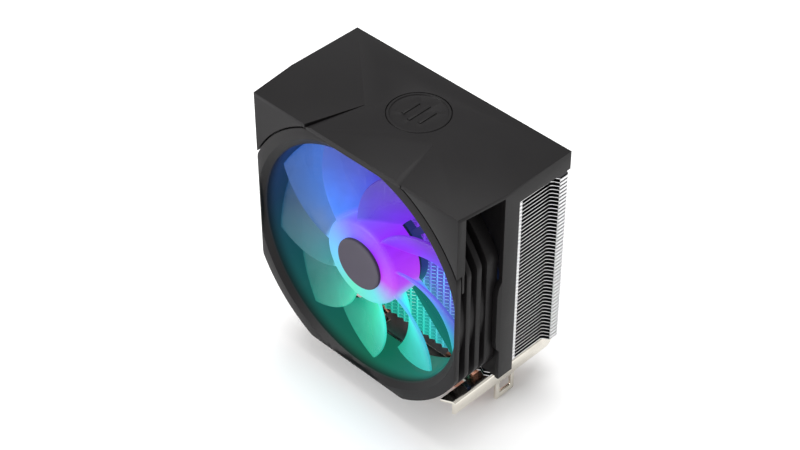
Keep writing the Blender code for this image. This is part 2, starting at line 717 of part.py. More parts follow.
def flange_outline():
    """A circle clipped by the fan's square."""
    clip = math.degrees(math.acos(FAN_HALF / FLANGE_RADIUS))
    points = []
    for corner in range(4):
        points += arc(FLANGE_RADIUS, 90 * corner + clip, 90 * (corner + 1) - clip, 7)
    return points


def make_fan_frame(axis):
    blank = plate("fan_frame", [flange_outline()], -FAN_DEPTH, 0.0)
    frame = part("fan_frame", blank, BLACK_PLASTIC, axis)
    duct = BORE_RADIUS + DUCT_WALL
    edges = [*RIB_EDGES, FAN_DEPTH - BACK_FLANGE]
    for start, end in zip(edges[::2], edges[1::2]):
        groove = washer("groove", duct, FLANGE_RADIUS + PAST, start, end, 48)
        cut(frame, helper("groove", groove, axis))
    profile = [
        (0.0, PAST),
        (BELL_RADIUS, PAST),
        (BELL_RADIUS, 0.0),
        (BORE_RADIUS, -BELL_DEPTH),
        (BORE_RADIUS, -FAN_DEPTH - PAST),
        (0.0, -FAN_DEPTH - PAST),
    ]
    bore = helper("bore", turned("bore", profile, 48), axis)
    low = (-BELL_HALF, -BELL_HALF, -FAN_DEPTH - 2 * PAST)
    square = box("bore_square", low, (BELL_HALF, BELL_HALF, 2 * PAST))
    keep(bore, helper("bore_square", square, axis))
    cut(frame, bore)
    join(frame, helper("struts", struts_mesh(), axis))
    join(frame, helper("motor_plate", motor_plate_mesh(), axis))
    reach = MOTOR_RADIUS - CABLE_NOTCH
    half = CABLE_NOTCH / 2
    low = (reach, -half, -FAN_DEPTH - PAST)
    turn = Matrix.Rotation(math.radians(45 + 180 / STRUT_COUNT), 4, "Z")
    notch = box("cable_notch", low, (MOTOR_RADIUS + PAST, half, -MOTOR_FRONT + PAST), turn)
    cut(frame, helper("cable_notch", notch, axis))


def struts_mesh():
    """Struts from the motor plate to the duct, set a little off the radius."""
    meshes = []
    half = STRUT_WIDTH / 2
    for index in range(STRUT_COUNT):
        turn = Matrix.Rotation(math.radians(45 + 360 / STRUT_COUNT * index), 4, "Z")
        low = (MOTOR_RADIUS - 2 * EMBED, -half, -FAN_DEPTH)
        high = (BORE_RADIUS + EMBED, half, -MOTOR_FRONT)
        meshes.append(box("strut", low, high, turn))
    return bars("struts", meshes)


def motor_plate_mesh():
    """The round plate that carries the motor, with its blind bearing tube."""
    floor = FAN_DEPTH - TUBE_FLOOR
    profile = [
        (0.0, -floor),
        (TUBE_BORE, -floor),
        (TUBE_BORE, -TUBE_START),
        (TUBE_RADIUS, -TUBE_START),
        (TUBE_RADIUS, -MOTOR_FRONT),
        (MOTOR_RADIUS, -MOTOR_FRONT),
        (MOTOR_RADIUS, -FAN_DEPTH),
        (0.0, -FAN_DEPTH),
    ]
    return turned("motor_plate", profile, 32)


def make_impeller(axis):
    inside = HUB_RADIUS - HUB_WALL
    corner = [
        (HUB_RADIUS - HUB_ROUNDING + x, -HUB_FRONT - HUB_ROUNDING + y)
        for x, y in arc(HUB_ROUNDING, 90, 0, 2)
    ]
    rib_inner = YOKE_RADIUS + SEAT
    rib_outer = rib_inner + HUB_WALL / 2
    wall_back = HUB_FRONT + HUB_WALL
    profile = [
        (0.0, -HUB_FRONT),
        *corner,
        (HUB_RADIUS, -HUB_BACK),
        (inside, -HUB_BACK),
        (inside, -wall_back),
        (rib_outer, -wall_back),
        (rib_outer, -wall_back - HUB_RIB),
        (rib_inner, -wall_back - HUB_RIB),
        (rib_inner, -wall_back),
        (0.0, -wall_back),
    ]
    impeller = part("impeller", turned("impeller", profile, 36), FROSTED, axis, smooth=True)
    blades = helper("blades", blades_mesh(), axis)
    solid = blades.modifiers.new("thickness", "SOLIDIFY")
    solid.thickness = BLADE_THICKNESS
    solid.offset = 0.0
    join(impeller, blades)


def blade_point(along, across, start):
    """A point of a blade: along runs 0 to 1 from root to tip, across 0 to 1 from front to back.

    The front edge leads, on the anticlockwise side as the fan is seen from its front.
    """
    root = HUB_RADIUS - HUB_WALL / 2
    radius = root + (BLADE_TIP - root) * along
    wrap = 360 / BLADE_COUNT * BLADE_COVER
    angle = math.radians(start - BLADE_SWEEP * along**1.4 + wrap * (0.5 - across))
    rise = (BLADE_BACK - BLADE_FRONT) * (1.0 - 0.15 * along)
    depth = BLADE_BACK - rise * (1.0 - across) ** 0.85
    return (radius * math.cos(angle), radius * math.sin(angle), -depth)


def blades_mesh():
    """Every blade as a bent grid, which Solidify thickens."""
    along_steps = 7
    across_steps = 4
    shape = bmesh.new()
    for index in range(BLADE_COUNT):
        grid = bmesh.ops.create_grid(shape, x_segments=along_steps, y_segments=across_steps, size=0.5)
        for vertex in grid["verts"]:
            along = vertex.co.x + 0.5
            across = vertex.co.y + 0.5
            vertex.co = blade_point(along, across, 360 / BLADE_COUNT * index)
    return mesh_from("blades", shape)


def make_rotor_metal(axis):
    cap_back = HUB_FRONT - SEAT
    cap = turned(
        "hub_cap",
        [
            (0.0, CAP_THICKNESS - cap_back),
            (CAP_RADIUS - CAP_THICKNESS / 2, CAP_THICKNESS - cap_back),
            (CAP_RADIUS, CAP_THICKNESS / 2 - cap_back),
            (CAP_RADIUS, -cap_back),
            (0.0, -cap_back),
        ],
    )
    part("hub_cap", cap, CAP_PLASTIC, axis, smooth=True)
    front = HUB_FRONT + HUB_WALL + SEAT
    hole = SHAFT_RADIUS + SEAT
    yoke = [
        (hole, -front),
        (YOKE_RADIUS, -front),
        (YOKE_RADIUS, -YOKE_BACK),
        (YOKE_RADIUS - YOKE_WALL, -YOKE_BACK),
        (YOKE_RADIUS - YOKE_WALL, -front - YOKE_WALL),
        (hole, -front - YOKE_WALL),
    ]
    part("motor_yoke", turned("motor_yoke", yoke, closed=True), STEEL, axis, smooth=True)
    magnet = washer("magnet_ring", MAGNET_INNER, MAGNET_OUTER, *MAGNET_DEPTHS)
    part("magnet_ring", magnet, MAGNET, axis, smooth=True)
    make_shaft(axis, front)


def make_shaft(axis, front):
    """The shaft, with a groove behind the sleeve for its retaining ring."""
    groove_radius = SHAFT_RADIUS - 2 * SEAT
    groove_start = SLEEVE_DEPTHS[1] + 2 * SEAT
    groove_end = groove_start + RING_THICKNESS + 2 * SEAT
    profile = [
        (0.0, -front),
        (SHAFT_RADIUS, -front),
        (SHAFT_RADIUS, -groove_start),
        (groove_radius, -groove_start),
        (groove_radius, -groove_end),
        (SHAFT_RADIUS, -groove_end),
        (SHAFT_RADIUS, -SHAFT_BACK),
        (0.0, -SHAFT_BACK),
    ]
    part("shaft", turned("shaft", profile, SHAFT_SIDES), STEEL, axis, smooth=True)
    ring_start = groove_start + SEAT
    ring = washer(
        "retaining_ring",
        groove_radius + SEAT,
        TUBE_BORE - 2 * SEAT,
        ring_start,
        ring_start + RING_THICKNESS,
        SHAFT_SIDES,
    )
    part("retaining_ring", ring, STEEL, axis)


def make_stator(axis):
    inner = SHAFT_RADIUS + RUNNING
    sleeve = washer("bearing_sleeve", inner, TUBE_BORE - SEAT, *SLEEVE_DEPTHS, SHAFT_SIDES)
    part("bearing_sleeve", sleeve, BRONZE, axis, smooth=True)
    front, back = STATOR_DEPTHS
    neck_start = TUBE_RADIUS + SEAT
    ring_outer = neck_start + CORE_WALL
    core = part(
        "stator_core",
        washer("stator_core", neck_start, ring_outer, front, back, 24),
        STEEL,
        axis,
    )
    tips = helper(
        "pole_tips",
        washer("pole_tips", STATOR_RADIUS - POLE_TIP, STATOR_RADIUS, front, back),
        axis,
    )
    gaps = []
    necks = []
    coils = []
    half = POLE_WIDTH / 2
    for index in range(POLE_COUNT):
        turn = Matrix.Rotation(math.tau / POLE_COUNT * index, 4, "Z")
        gap_turn = Matrix.Rotation(math.tau / POLE_COUNT * (index + 0.5), 4, "Z")
        deep = (-back - PAST, -front + PAST)
        gaps.append(box("gap", (ring_outer, -half, deep[0]), (YOKE_RADIUS, half, deep[1]), gap_turn))
        low = (ring_outer - EMBED, -half, -back)
        necks.append(box("neck", low, (STATOR_RADIUS - POLE_TIP + EMBED, half, -front), turn))
        coils.append(coil_mesh(ring_outer, half, turn))
    cut(tips, helper("pole_gaps", bars("pole_gaps", gaps), axis))
    join(core, helper("necks", bars("necks", necks), axis), tips)
    for number, (outside, inside) in enumerate(coils, start=1):
        coil = part(f"coil_{number}", outside, WINDING, axis)
        cut(coil, helper("coil_window", inside, axis))


def coil_mesh(ring_outer, half, turn):
    """The outside of one winding, and the window its pole passes through."""
    front, back = STATOR_DEPTHS
    near = ring_outer + SEAT
    reach = SEAT + COIL_BUILD
    far = math.sqrt((STATOR_RADIUS - POLE_TIP - SEAT) ** 2 - (half + reach) ** 2)
    outside = box("coil", (near, -half - reach, -back - reach), (far, half + reach, -front + reach), turn)
    low = (near - PAST, -half - SEAT, -back - SEAT)
    inside = box("coil_window", low, (far + PAST, half + SEAT, -front + SEAT), turn)
    return outside, inside


def make_board(axis):
    board = washer("circuit_board", TUBE_RADIUS + SEAT, BOARD_RADIUS, BOARD_FRONT, BOARD_BACK)
    part("circuit_board", board, BOARD_GREEN, axis)
    length, width, height = LAMP_SIZE
    back = BOARD_FRONT - SEAT
    for index in range(LAMP_COUNT):
        turn = Matrix.Rotation(math.tau / LAMP_COUNT * index, 4, "Z")
        low = (LAMP_RADIUS - length / 2, -width / 2, -back)
        high = (LAMP_RADIUS + length / 2, width / 2, -back + height)
        part(f"lamp_{index + 1}", box("lamp", low, high, turn), LAMP_WHITE, axis)


def main():
    make_fin_stack()
    make_heat_pipes()
    make_base()
    for side, label in ((-1, "left"), (1, "right")):
        make_bracket(side, label)
    make_screws()
    make_shroud()
    make_badge()
    frame_axis = make_fan_axis("fan_frame_axis")
    make_fan_frame(frame_axis)
    make_stator(frame_axis)
    make_board(frame_axis)
    rotor_axis = make_fan_axis("rotor_axis")
    make_impeller(rotor_axis)
    make_rotor_metal(rotor_axis)


main()
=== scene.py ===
"""Looks of the tower cooler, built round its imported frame.

Metres, +Z up. The cooler stands on its contact face at the origin, and its fan faces -Y.
"""

import logging
import math
from collections.abc import Iterable, Iterator, Sequence
from contextlib import contextmanager
from dataclasses import dataclass
from enum import Enum

import bpy
from mathutils import Matrix, Vector


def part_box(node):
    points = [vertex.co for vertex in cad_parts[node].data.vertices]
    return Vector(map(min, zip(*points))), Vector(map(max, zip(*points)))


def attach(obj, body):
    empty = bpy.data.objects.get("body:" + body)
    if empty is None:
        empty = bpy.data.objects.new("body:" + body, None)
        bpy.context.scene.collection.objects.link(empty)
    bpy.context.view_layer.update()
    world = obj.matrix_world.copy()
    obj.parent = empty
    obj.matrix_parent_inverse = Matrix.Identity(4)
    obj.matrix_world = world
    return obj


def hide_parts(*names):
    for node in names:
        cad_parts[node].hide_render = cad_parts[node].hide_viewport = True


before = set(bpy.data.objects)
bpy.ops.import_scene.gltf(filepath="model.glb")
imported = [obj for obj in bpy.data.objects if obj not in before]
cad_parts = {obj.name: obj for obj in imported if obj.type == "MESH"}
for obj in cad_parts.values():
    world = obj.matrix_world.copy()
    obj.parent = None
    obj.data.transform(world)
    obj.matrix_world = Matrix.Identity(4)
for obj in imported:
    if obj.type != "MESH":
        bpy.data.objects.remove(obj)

LOG = logging.getLogger("cooler")
MM = 0.001
Pair = tuple[float, float]
Triple = tuple[float, float, float]


class Body(str, Enum):
    """The rigid bodies that pieces ride on."""

    TOWER = "tower"
    MODULE = "fan_module"
    ROTOR = "rotor"


class Work(str, Enum):
    """What one shape does to another."""

    CUT = "DIFFERENCE"
    JOIN = "UNION"
    KEEP = "INTERSECT"


# ------------------------------------------------------------------ shader maths
class Signal:
    """A number that varies over a surface. Arithmetic on it adds Math nodes."""

    def __init__(self, recipe: "Recipe", socket: bpy.types.NodeSocket) -> None:
        """Wrap a socket of a recipe's node tree."""
        self.recipe = recipe
        self.socket = socket

    def _math(self, operation: str, first: object, second: object = 0.0) -> "Signal":
        """Add a Math node on two numbers or signals."""
        node = self.recipe.node("ShaderNodeMath", {"operation": operation}, {0: first, 1: second})
        return Signal(self.recipe, node.outputs[0])

    def __add__(self, other: object) -> "Signal":
        """Sum."""
        return self._math("ADD", self, other)

    __radd__ = __add__

    def __sub__(self, other: object) -> "Signal":
        """Difference."""
        return self._math("SUBTRACT", self, other)

    def __rsub__(self, other: object) -> "Signal":
        """Difference with this signal second."""
        return self._math("SUBTRACT", other, self)

    def __mul__(self, other: object) -> "Signal":
        """Product."""
        return self._math("MULTIPLY", self, other)

    __rmul__ = __mul__

    def __truediv__(self, other: object) -> "Signal":
        """Quotient."""
        return self._math("DIVIDE", self, other)

    def __pow__(self, other: object) -> "Signal":
        """Power."""
        return self._math("POWER", self, other)

    def clipped(self) -> "Signal":
        """The signal held between 0 and 1."""
        return self._math("MINIMUM", self._math("MAXIMUM", self, 0.0), 1.0)

    def angle_from(self, other: "Signal") -> "Signal":
        """The angle of the point (other, self), in radians."""
        return self._math("ARCTAN2", self, other)

    def off_grid(self, pitch: float) -> "Signal":
        """How far the signal lies from the nearest multiple of a pitch."""
        return self._math("PINGPONG", self, pitch / 2)

    def step(self, low: float, high: float) -> "Signal":
        """A smooth rise from 0 at low to 1 at high.

        Args:
            low: where it starts to rise.
            high: where it reaches 1.

        Returns:
            The new signal.
        """
        settings = {"interpolation_type": "SMOOTHSTEP"}
        node = self.recipe.node("ShaderNodeMapRange", settings, {0: self, 1: low, 2: high})
        return Signal(self.recipe, node.outputs[0])

    def ramp(self, stops: Sequence[tuple[float, Triple]]) -> bpy.types.NodeSocket:
        """A colour for each value of the signal.

        Args:
            stops: positions from 0 to 1, each with its colour.

        Returns:
            The colour socket.
        """
        return self.recipe.node("ShaderNodeValToRGB", {"stops": stops}, {0: self}).outputs[0]


class Recipe:
    """A material's node tree, with short names for what the finishes need."""

    def __init__(self, name: str) -> None:
        """Start a material with its Principled shader.

        Args:
            name: the material's name.
        """
        self.material = bpy.data.materials.new(name)
        self.material.use_nodes = True
        self.tree = self.material.node_tree
        self.shader = self.tree.nodes["Principled BSDF"]
        self.place = self.node("ShaderNodeTexCoord", {}, {}).outputs["Object"]

    def node(self, kind: str, settings: dict, sockets: dict) -> bpy.types.Node:
        """Add a node.

        Args:
            kind: the node's type.
            settings: its properties, or the stops of a ramp.
            sockets: values, signals or sockets for its inputs, by name or number.

        Returns:
            The new node.
        """
        made = self.tree.nodes.new(kind)
        for key, value in settings.items():
            if key == "stops":
                self._fill_ramp(made.color_ramp, value)
            else:
                setattr(made, key, value)
        for key, value in sockets.items():
            self.feed(made.inputs[key], value)
        return made

    @staticmethod
    def _fill_ramp(ramp: bpy.types.ColorRamp, stops: Sequence[tuple[float, Triple]]) -> None:
        """Give a ramp its stops.

        Args:
            ramp: the ramp.
            stops: positions from 0 to 1, each with its colour.
        """
        for index, (position, colour) in enumerate(stops):
            element = ramp.elements[index] if index < 2 else ramp.elements.new(position)
            element.position = position
            element.color = (*colour, 1.0)

    def feed(self, socket: bpy.types.NodeSocket, value: object) -> None:
        """Link or set one input.

        Args:
            socket: the input.
            value: a number, signal, socket or colour.
        """
        if isinstance(value, Signal):
            value = value.socket
        if isinstance(value, bpy.types.NodeSocket):
            self.tree.links.new(value, socket)
        else:
            socket.default_value = value

    def set(self, name: str, value: object) -> None:
        """Link or set an input of the Principled shader."""
        self.feed(self.shader.inputs[name], value)

    def axes(self, centre: Triple = (0.0, 0.0, 0.0)) -> tuple[Signal, Signal, Signal]:
        """The position on the piece, measured from a point.

        Args:
            centre: the point.

        Returns:
            The distances along X, Y and Z.
        """
        node = self.node("ShaderNodeSeparateXYZ", {}, {0: self.place})
        parts = [Signal(self, output) for output in node.outputs]
        return tuple(part - offset for part, offset in zip(parts, centre))

    def noise(self, size: float, stretch: Triple = (1.0, 1.0, 1.0), detail: float = 3.0) -> Signal:
        """Soft noise with features of a given size in metres.

        Args:
            size: the size of one feature.
            stretch: how many times finer it is along each axis.
            detail: octaves.

        Returns:
            The noise, around 0.5.
        """
        mapped = self.node("ShaderNodeMapping", {}, {0: self.place, 3: stretch}).outputs[0]
        sockets = {"Vector": mapped, "Scale": 1.0 / size, "Detail": detail}
        return Signal(self, self.node("ShaderNodeTexNoise", {}, sockets).outputs[0])

    def mix(self, amount: object, first: object, second: object) -> bpy.types.NodeSocket:
        """A blend of two colours.

        Args:
            amount: 0 for the first colour to 1 for the second.
            first: a colour.
            second: a colour.

        Returns:
            The blend's socket.
        """
        settings = {"data_type": "RGBA"}
        node = self.node("ShaderNodeMix", settings, {0: amount, 6: first, 7: second})
        return node.outputs[2]

    def polar(self, centre: Triple) -> tuple[Signal, Signal, Signal]:
        """The position round an axis along Y.

        Args:
            centre: a point on the axis.

        Returns:
            The distance from the axis, the direction as a share of a turn with 0 and 1 on the left,
            and the depth behind the point.
        """
        across, along, up = self.axes(centre)
        radius = (across * across + up * up) ** 0.5
        return radius, up.angle_from(across) / math.tau + 0.5, along

    def glow(self, share: Signal, colour: bpy.types.NodeSocket, strength: float) -> None:
        """Give off a colour, by a share that varies over the surface."""
        self.set("Emission Color", self.mix(share, solid((0.0, 0.0, 0.0)), colour))
        self.set("Emission Strength", strength)

    def bump(self, height: Signal, depth: float) -> None:
        """Raise the surface by a signal, to a depth in metres."""
        sockets = {"Height": height, "Distance": depth, "Strength": 1.0}
        self.set("Normal", self.node("ShaderNodeBump", {}, sockets).outputs[0])


def solid(colour: Triple) -> tuple[float, float, float, float]:
    """A colour with full alpha, as sockets take it."""
    return (*colour, 1.0)


# ------------------------------------------------------------------ finishes
@dataclass(frozen=True)
class MouldedPlastic:
    """Satin plastic with the fine spark-eroded grain of its mould."""

    name: str
    slot: str
    colour: Triple = (0.0088, 0.0081, 0.0085)
    roughness: float = 0.42
    sheen: float = 0.12
    grain_size: float = 0.35 * MM
    grain_depth: float = 0.012 * MM

    def recipe(self) -> Recipe:
        """Build the material's nodes.

        Returns:
            The recipe, for a finish that adds to it.
        """
        recipe = Recipe(self.name)
        grain = recipe.noise(self.grain_size, detail=2.0)
        cloud = recipe.noise(14 * MM)
        pale = tuple(1.25 * channel for channel in self.colour)
        recipe.set("Base Color", recipe.mix(cloud, solid(self.colour), solid(pale)))
        recipe.set("Roughness", self.roughness + (grain - 0.5) * 0.12 + (cloud - 0.5) * 0.1)
        recipe.set("Specular IOR Level", self.sheen)
        recipe.bump(grain, self.grain_depth)
        return recipe

    def make(self) -> bpy.types.Material:
        """Build the material."""
        return self.recipe().material


@dataclass(frozen=True)
class DuctPlastic(MouldedPlastic):
    """The same plastic, with the impeller's coloured light falling on the inside of the duct."""

    centre: Triple = (0.0, 0.0, 0.0)
    bore: float = 58.3 * MM
    fade: float = 0.6 * MM
    depths: Pair = (0.5 * MM, 9.0 * MM)
    stops: tuple[tuple[float, Triple], ...] = ()

    def recipe(self) -> Recipe:
        """Build the material's nodes.

        Returns:
            The recipe, with the light added.
        """
        recipe = super().recipe()
        radius, turn, depth = recipe.polar(self.centre)
        share = (1.0 - radius.step(self.bore, self.bore + self.fade)) * depth.step(*self.depths)
        recipe.glow(share, turn.ramp(self.stops), 1.0)
        return recipe


@dataclass(frozen=True)
class PlatedMetal:
    """Bright plating or bare metal with faint rolling lines and finger-soft patches."""

    name: str
    slot: str
    colour: Triple
    roughness: float
    lines: Triple = (1.0, 30.0, 30.0)
    line_size: float = 6.0 * MM
    line_depth: float = 0.002 * MM
    patch_size: float = 9.0 * MM
    tarnish: Triple = (0.85, 0.85, 0.85)

    def make(self) -> bpy.types.Material:
        """Build the material.

        Returns:
            The material.
        """
        recipe = Recipe(self.name)
        lines = recipe.noise(self.line_size, self.lines)
        patch = recipe.noise(self.patch_size)
        dull = tuple(base * shade for base, shade in zip(self.colour, self.tarnish))
        recipe.set("Base Color", recipe.mix(patch.step(0.4, 0.75), solid(self.colour), solid(dull)))
        recipe.set("Metallic", 1.0)
        recipe.set("Roughness", self.roughness + (lines - 0.5) * 0.1 + patch * 0.08)
        recipe.bump(lines, self.line_depth)
        return recipe.material


@dataclass(frozen=True)
class FinMetal:
    """Rolled sheet: bright metal on its edges and tabs, painted shade on its flat faces between the fins,
    and the fan's light painted on near the front.
    """

    name: str
    slot: str
    low: Triple
    fan_height: float
    pitch: float
    thickness: float
    stops: tuple[tuple[float, Triple], ...]
    lit_depth: float = 6.0 * MM
    lit_radius: float = 58.0 * MM
    strength: float = 0.8
    skin: Pair = (0.02 * MM, 0.05 * MM)
    lines: Triple = (1.0, 30.0, 30.0)
    line_size: float = 6.0 * MM
    line_depth: float = 0.002 * MM
    dulling: float = 0.8
    bright: Triple = (0.86, 0.86, 0.87)
    fin_face_painted_shade: Triple = (0.07, 0.07, 0.075)

    def make(self) -> bpy.types.Material:
        """Build the material.

        Returns:
            The material.
        """
        recipe = Recipe(self.name)
        up = recipe.axes(self.low)[2]
        under = up.off_grid(self.pitch)
        over = (up - self.thickness).off_grid(self.pitch)
        edge = under.step(*self.skin) * over.step(*self.skin)
        lines = recipe.noise(self.line_size, self.lines)
        dull = tuple(self.dulling * channel for channel in self.bright)
        shade = recipe.mix(lines, solid(self.bright), solid(dull))
        # Painted shade: the flat faces of every fin take the dark colour, and only edges and tabs keep the
        # metal's own colour.
        recipe.set("Base Color", recipe.mix(edge, solid(self.fin_face_painted_shade), shade))
        recipe.set("Metallic", 1.0)
        recipe.set("Roughness", 0.32 + (lines - 0.5) * 0.12)
        recipe.bump(lines, self.line_depth)
        # Painted light: the fan's light is painted onto the front of the stack as emission, within the
        # fan's radius.
        radius, turn, depth = recipe.polar((0.0, self.low[1], self.fan_height))
        near_front = 1.0 - depth.step(0.0, self.lit_depth)
        before_fan = 1.0 - radius.step(0.97 * self.lit_radius, self.lit_radius)
        recipe.glow(near_front * before_fan, turn.ramp(self.stops), self.strength)
        return recipe.material


@dataclass(frozen=True)
class LitPlastic:
    """Frosted plastic that glows from the lamps in the hub, in a colour for each direction."""

    name: str
    slot: str
    centre: Triple
    hub_radius: float
    tip_radius: float
    blade_stops: tuple[tuple[float, Triple], ...]
    hub_stops: tuple[tuple[float, Triple], ...]
    strength: float = 1.0
    alpha: float = 0.62
    rim_light: float = 0.5
    body: Triple = (0.012, 0.016, 0.022)

    def make(self) -> bpy.types.Material:
        """Build the material.

        Returns:
            The material.
        """
        recipe = Recipe(self.name)
        radius, turn, _ = recipe.polar(self.centre)
        outside = radius.step(self.hub_radius - 0.5 * MM, self.hub_radius + 3.0 * MM)
        glow = recipe.mix(outside, turn.ramp(self.hub_stops), turn.ramp(self.blade_stops))
        streaks = recipe.noise(5.0 * MM, (1.0, 0.3, 1.0), detail=2.0)
        fade = 1.0 - radius.step(self.hub_radius, self.tip_radius) * (1.0 - self.rim_light)
        lit = fade * (0.85 + streaks * 0.3)
        recipe.set("Base Color", recipe.mix(0.05, solid(self.body), glow))
        recipe.glow(lit.clipped(), glow, self.strength)
        recipe.set("Roughness", 0.4 + streaks * 0.15)
        recipe.set("Specular IOR Level", 0.3)
        recipe.set("Alpha", self.alpha + (1.0 - self.alpha) * fade * 0.6)
        return recipe.material


@dataclass(frozen=True)
class CircuitBoard:
    """Green solder mask with copper traces showing as faint rings."""

    name: str
    slot: str
    centre: Triple
    ring_pitch: float = 2.4 * MM
    ring_edge: Pair = (0.7 * MM, 0.9 * MM)

    def make(self) -> bpy.types.Material:
        """Build the material.

        Returns:
            The material.
        """
        recipe = Recipe(self.name)
        radius = recipe.polar(self.centre)[0]
        trace = radius.off_grid(self.ring_pitch).step(*self.ring_edge)
        recipe.set("Base Color", recipe.mix(trace, solid((0.01, 0.07, 0.03)), solid((0.03, 0.16, 0.07))))
        recipe.set("Roughness", 0.35 + recipe.noise(2 * MM) * 0.2)
        return recipe.material


# ------------------------------------------------------------------ hand tools
class Bench:
    """Modelling moves that every maker uses."""

    @staticmethod
    def clear() -> None:
        """Leave edit mode, with nothing selected."""
        if bpy.context.mode != "OBJECT":
            bpy.ops.object.mode_set(mode="OBJECT")
        bpy.ops.object.select_all(action="DESELECT")

    @staticmethod
    def take(obj: bpy.types.Object) -> None:
        """Select one object alone and make it active.

        Args:
            obj: the object.
        """
        Bench.clear()
        obj.select_set(True)
        bpy.context.view_layer.objects.active = obj

    @staticmethod
    @contextmanager
    def editing(obj: bpy.types.Object) -> Iterator[None]:
        """Edit mode on one piece, with all of it selected.

        Args:
            obj: the piece.

        Returns:
            A context that ends back in object mode.
        """
        Bench.take(obj)
        bpy.ops.object.mode_set(mode="EDIT")
        bpy.ops.mesh.select_all(action="SELECT")
        yield
        bpy.ops.object.mode_set(mode="OBJECT")

    @staticmethod
    def apply(obj: bpy.types.Object, modifier: bpy.types.Modifier) -> None:
        """Put a modifier's result into the mesh."""
        Bench.take(obj)
        bpy.ops.object.modifier_apply(modifier=modifier.name)

    @staticmethod
    def settle(obj: bpy.types.Object) -> None:
        """Put the object's place into its mesh."""
        Bench.take(obj)
        bpy.ops.object.transform_apply(location=True, rotation=True, scale=True)

    @staticmethod
    def named(name: str) -> bpy.types.Object:
        """The object just added, under its own name.

        Args:
            name: the name, for its mesh too.

        Returns:
            The object.
        """
        obj = bpy.context.object
        obj.name = name
        obj.data.name = name
        return obj

    @staticmethod
    def block(name: str, low: Sequence[float], high: Sequence[float]) -> bpy.types.Object:
        """A box between two corners.

        Args:
            name: the piece's name.
            low: its low corner.
            high: its high corner.

        Returns:
            The new object.
        """
        Bench.clear()
        middle = [(a + b) / 2 for a, b in zip(low, high)]
        bpy.ops.mesh.primitive_cube_add(size=1.0, location=middle)
        obj = Bench.named(name)
        obj.scale = [b - a for a, b in zip(low, high)]
        Bench.settle(obj)
        return obj

    @staticmethod
    def rod(
        name: str, radius: float, start: Sequence[float], end: Sequence[float], sides: int = 32
    ) -> bpy.types.Object:
        """A round bar between two points.

        Args:
            name: the piece's name.
            radius: its radius.
            start: the middle of its first end.
            end: the middle of its second end.
            sides: faces round it.

        Returns:
            The new object.
        """
        Bench.clear()
        along = Vector(end) - Vector(start)
        bpy.ops.mesh.primitive_cone_add(
            vertices=sides,
            radius1=radius,
            radius2=radius,
            depth=along.length,
            location=Vector(start) + along / 2,
            rotation=along.to_track_quat("Z", "Y").to_euler(),
        )
        obj = Bench.named(name)
        Bench.settle(obj)
        return obj

    @staticmethod
    def loop(name: str, points: Sequence[Triple], fill: str) -> bpy.types.Object:
        """A closed loop of points, from a circle moved point by point.

        Args:
            name: the piece's name.
            points: where its points go, in order.
            fill: the circle's fill type.

        Returns:
            The new object.
        """
        Bench.clear()
        bpy.ops.mesh.primitive_circle_add(vertices=len(points), radius=1.0, fill_type=fill)
        obj = Bench.named(name)
        for vertex, point in zip(obj.data.vertices, points):
            vertex.co = point
        return obj

    @staticmethod
    def sheet(
        name: str, outline: Sequence[Pair], low: float, high: float, turn: Matrix | None = None
    ) -> bpy.types.Object:
        """A flat outline extruded along Z from low to high, then turned.

        Args:
            name: the piece's name.
            outline: the outline's points.
            low: height of its first face.
            high: height of its second face.
            turn: a matrix that lays the sheet in another plane.

        Returns:
            The new object.
        """
        obj = Bench.loop(name, [(x, y, low) for x, y in outline], "NGON")
        with Bench.editing(obj):
            bpy.ops.mesh.extrude_region_move(TRANSFORM_OT_translate={"value": (0.0, 0.0, high - low)})
        Bench.tidy_mesh(obj)
        if turn is not None:
            obj.data.transform(turn)
        Bench.face_out(obj)
        return obj

    @staticmethod
    def lathe(
        name: str, profile: Sequence[Pair], centre: Sequence[float], steps: int, upright: bool = False
    ) -> bpy.types.Object:
        """Spin a closed profile round an axis.

        Args:
            name: the piece's name.
            profile: (radius, distance along the axis) points.
            centre: a point on the axis; distances count from it.
            steps: faces round the axis.
            upright: True for an axis along Z, and False for one along Y.

        Returns:
            The new object.
        """
        x, y, z = centre
        if upright:
            points = [(x + radius, y, z + along) for radius, along in profile]
            axis = (0.0, 0.0, 1.0)
        else:
            points = [(x + radius, y + along, z) for radius, along in profile]
            axis = (0.0, 1.0, 0.0)
        obj = Bench.loop(name, points, "NOTHING")
        with Bench.editing(obj):
            bpy.ops.mesh.spin(steps=steps, angle=math.tau, center=tuple(centre), axis=axis)
        Bench.tidy_mesh(obj)
        Bench.face_out(obj)
        return obj

    @staticmethod
    def tidy_mesh(obj: bpy.types.Object) -> None:
        """Merge doubles and remove what is loose.

        Args:
            obj: the piece.
        """
        with Bench.editing(obj):
            bpy.ops.mesh.remove_doubles(threshold=0.002 * MM)
            bpy.ops.mesh.select_all(action="SELECT")
            bpy.ops.mesh.delete_loose(use_verts=True, use_edges=True, use_faces=False)

    @staticmethod
    def face_out(obj: bpy.types.Object) -> None:
        """Turn every face outwards."""
        with Bench.editing(obj):
            bpy.ops.mesh.normals_make_consistent(inside=False)

    @staticmethod
    def turn_about(obj: bpy.types.Object, angle: float, centre: Sequence[float]) -> None:
        """Turn a mesh about an axis along Y through a point."""
        there = Matrix.Translation(Vector(centre))
        obj.data.transform(there @ Matrix.Rotation(angle, 4, "Y") @ there.inverted())

    @staticmethod
    def copy(obj: bpy.types.Object, name: str) -> bpy.types.Object:
        """A copy with its own mesh.

        Args:
            obj: the piece to copy.
            name: the copy's name.

        Returns:
            The copy.
        """
        Bench.take(obj)
        bpy.ops.object.duplicate()
        return Bench.named(name)

    @staticmethod
    def gather(objects: Iterable[bpy.types.Object], name: str) -> bpy.types.Object:
        """Put several meshes into one object.

        Args:
            objects: the meshes.
            name: the new piece's name.

        Returns:
            The joined object.
        """
        objects = list(objects)
        Bench.clear()
        for obj in objects:
            obj.select_set(True)
        bpy.context.view_layer.objects.active = objects[0]
        bpy.ops.object.join()
        return Bench.named(name)

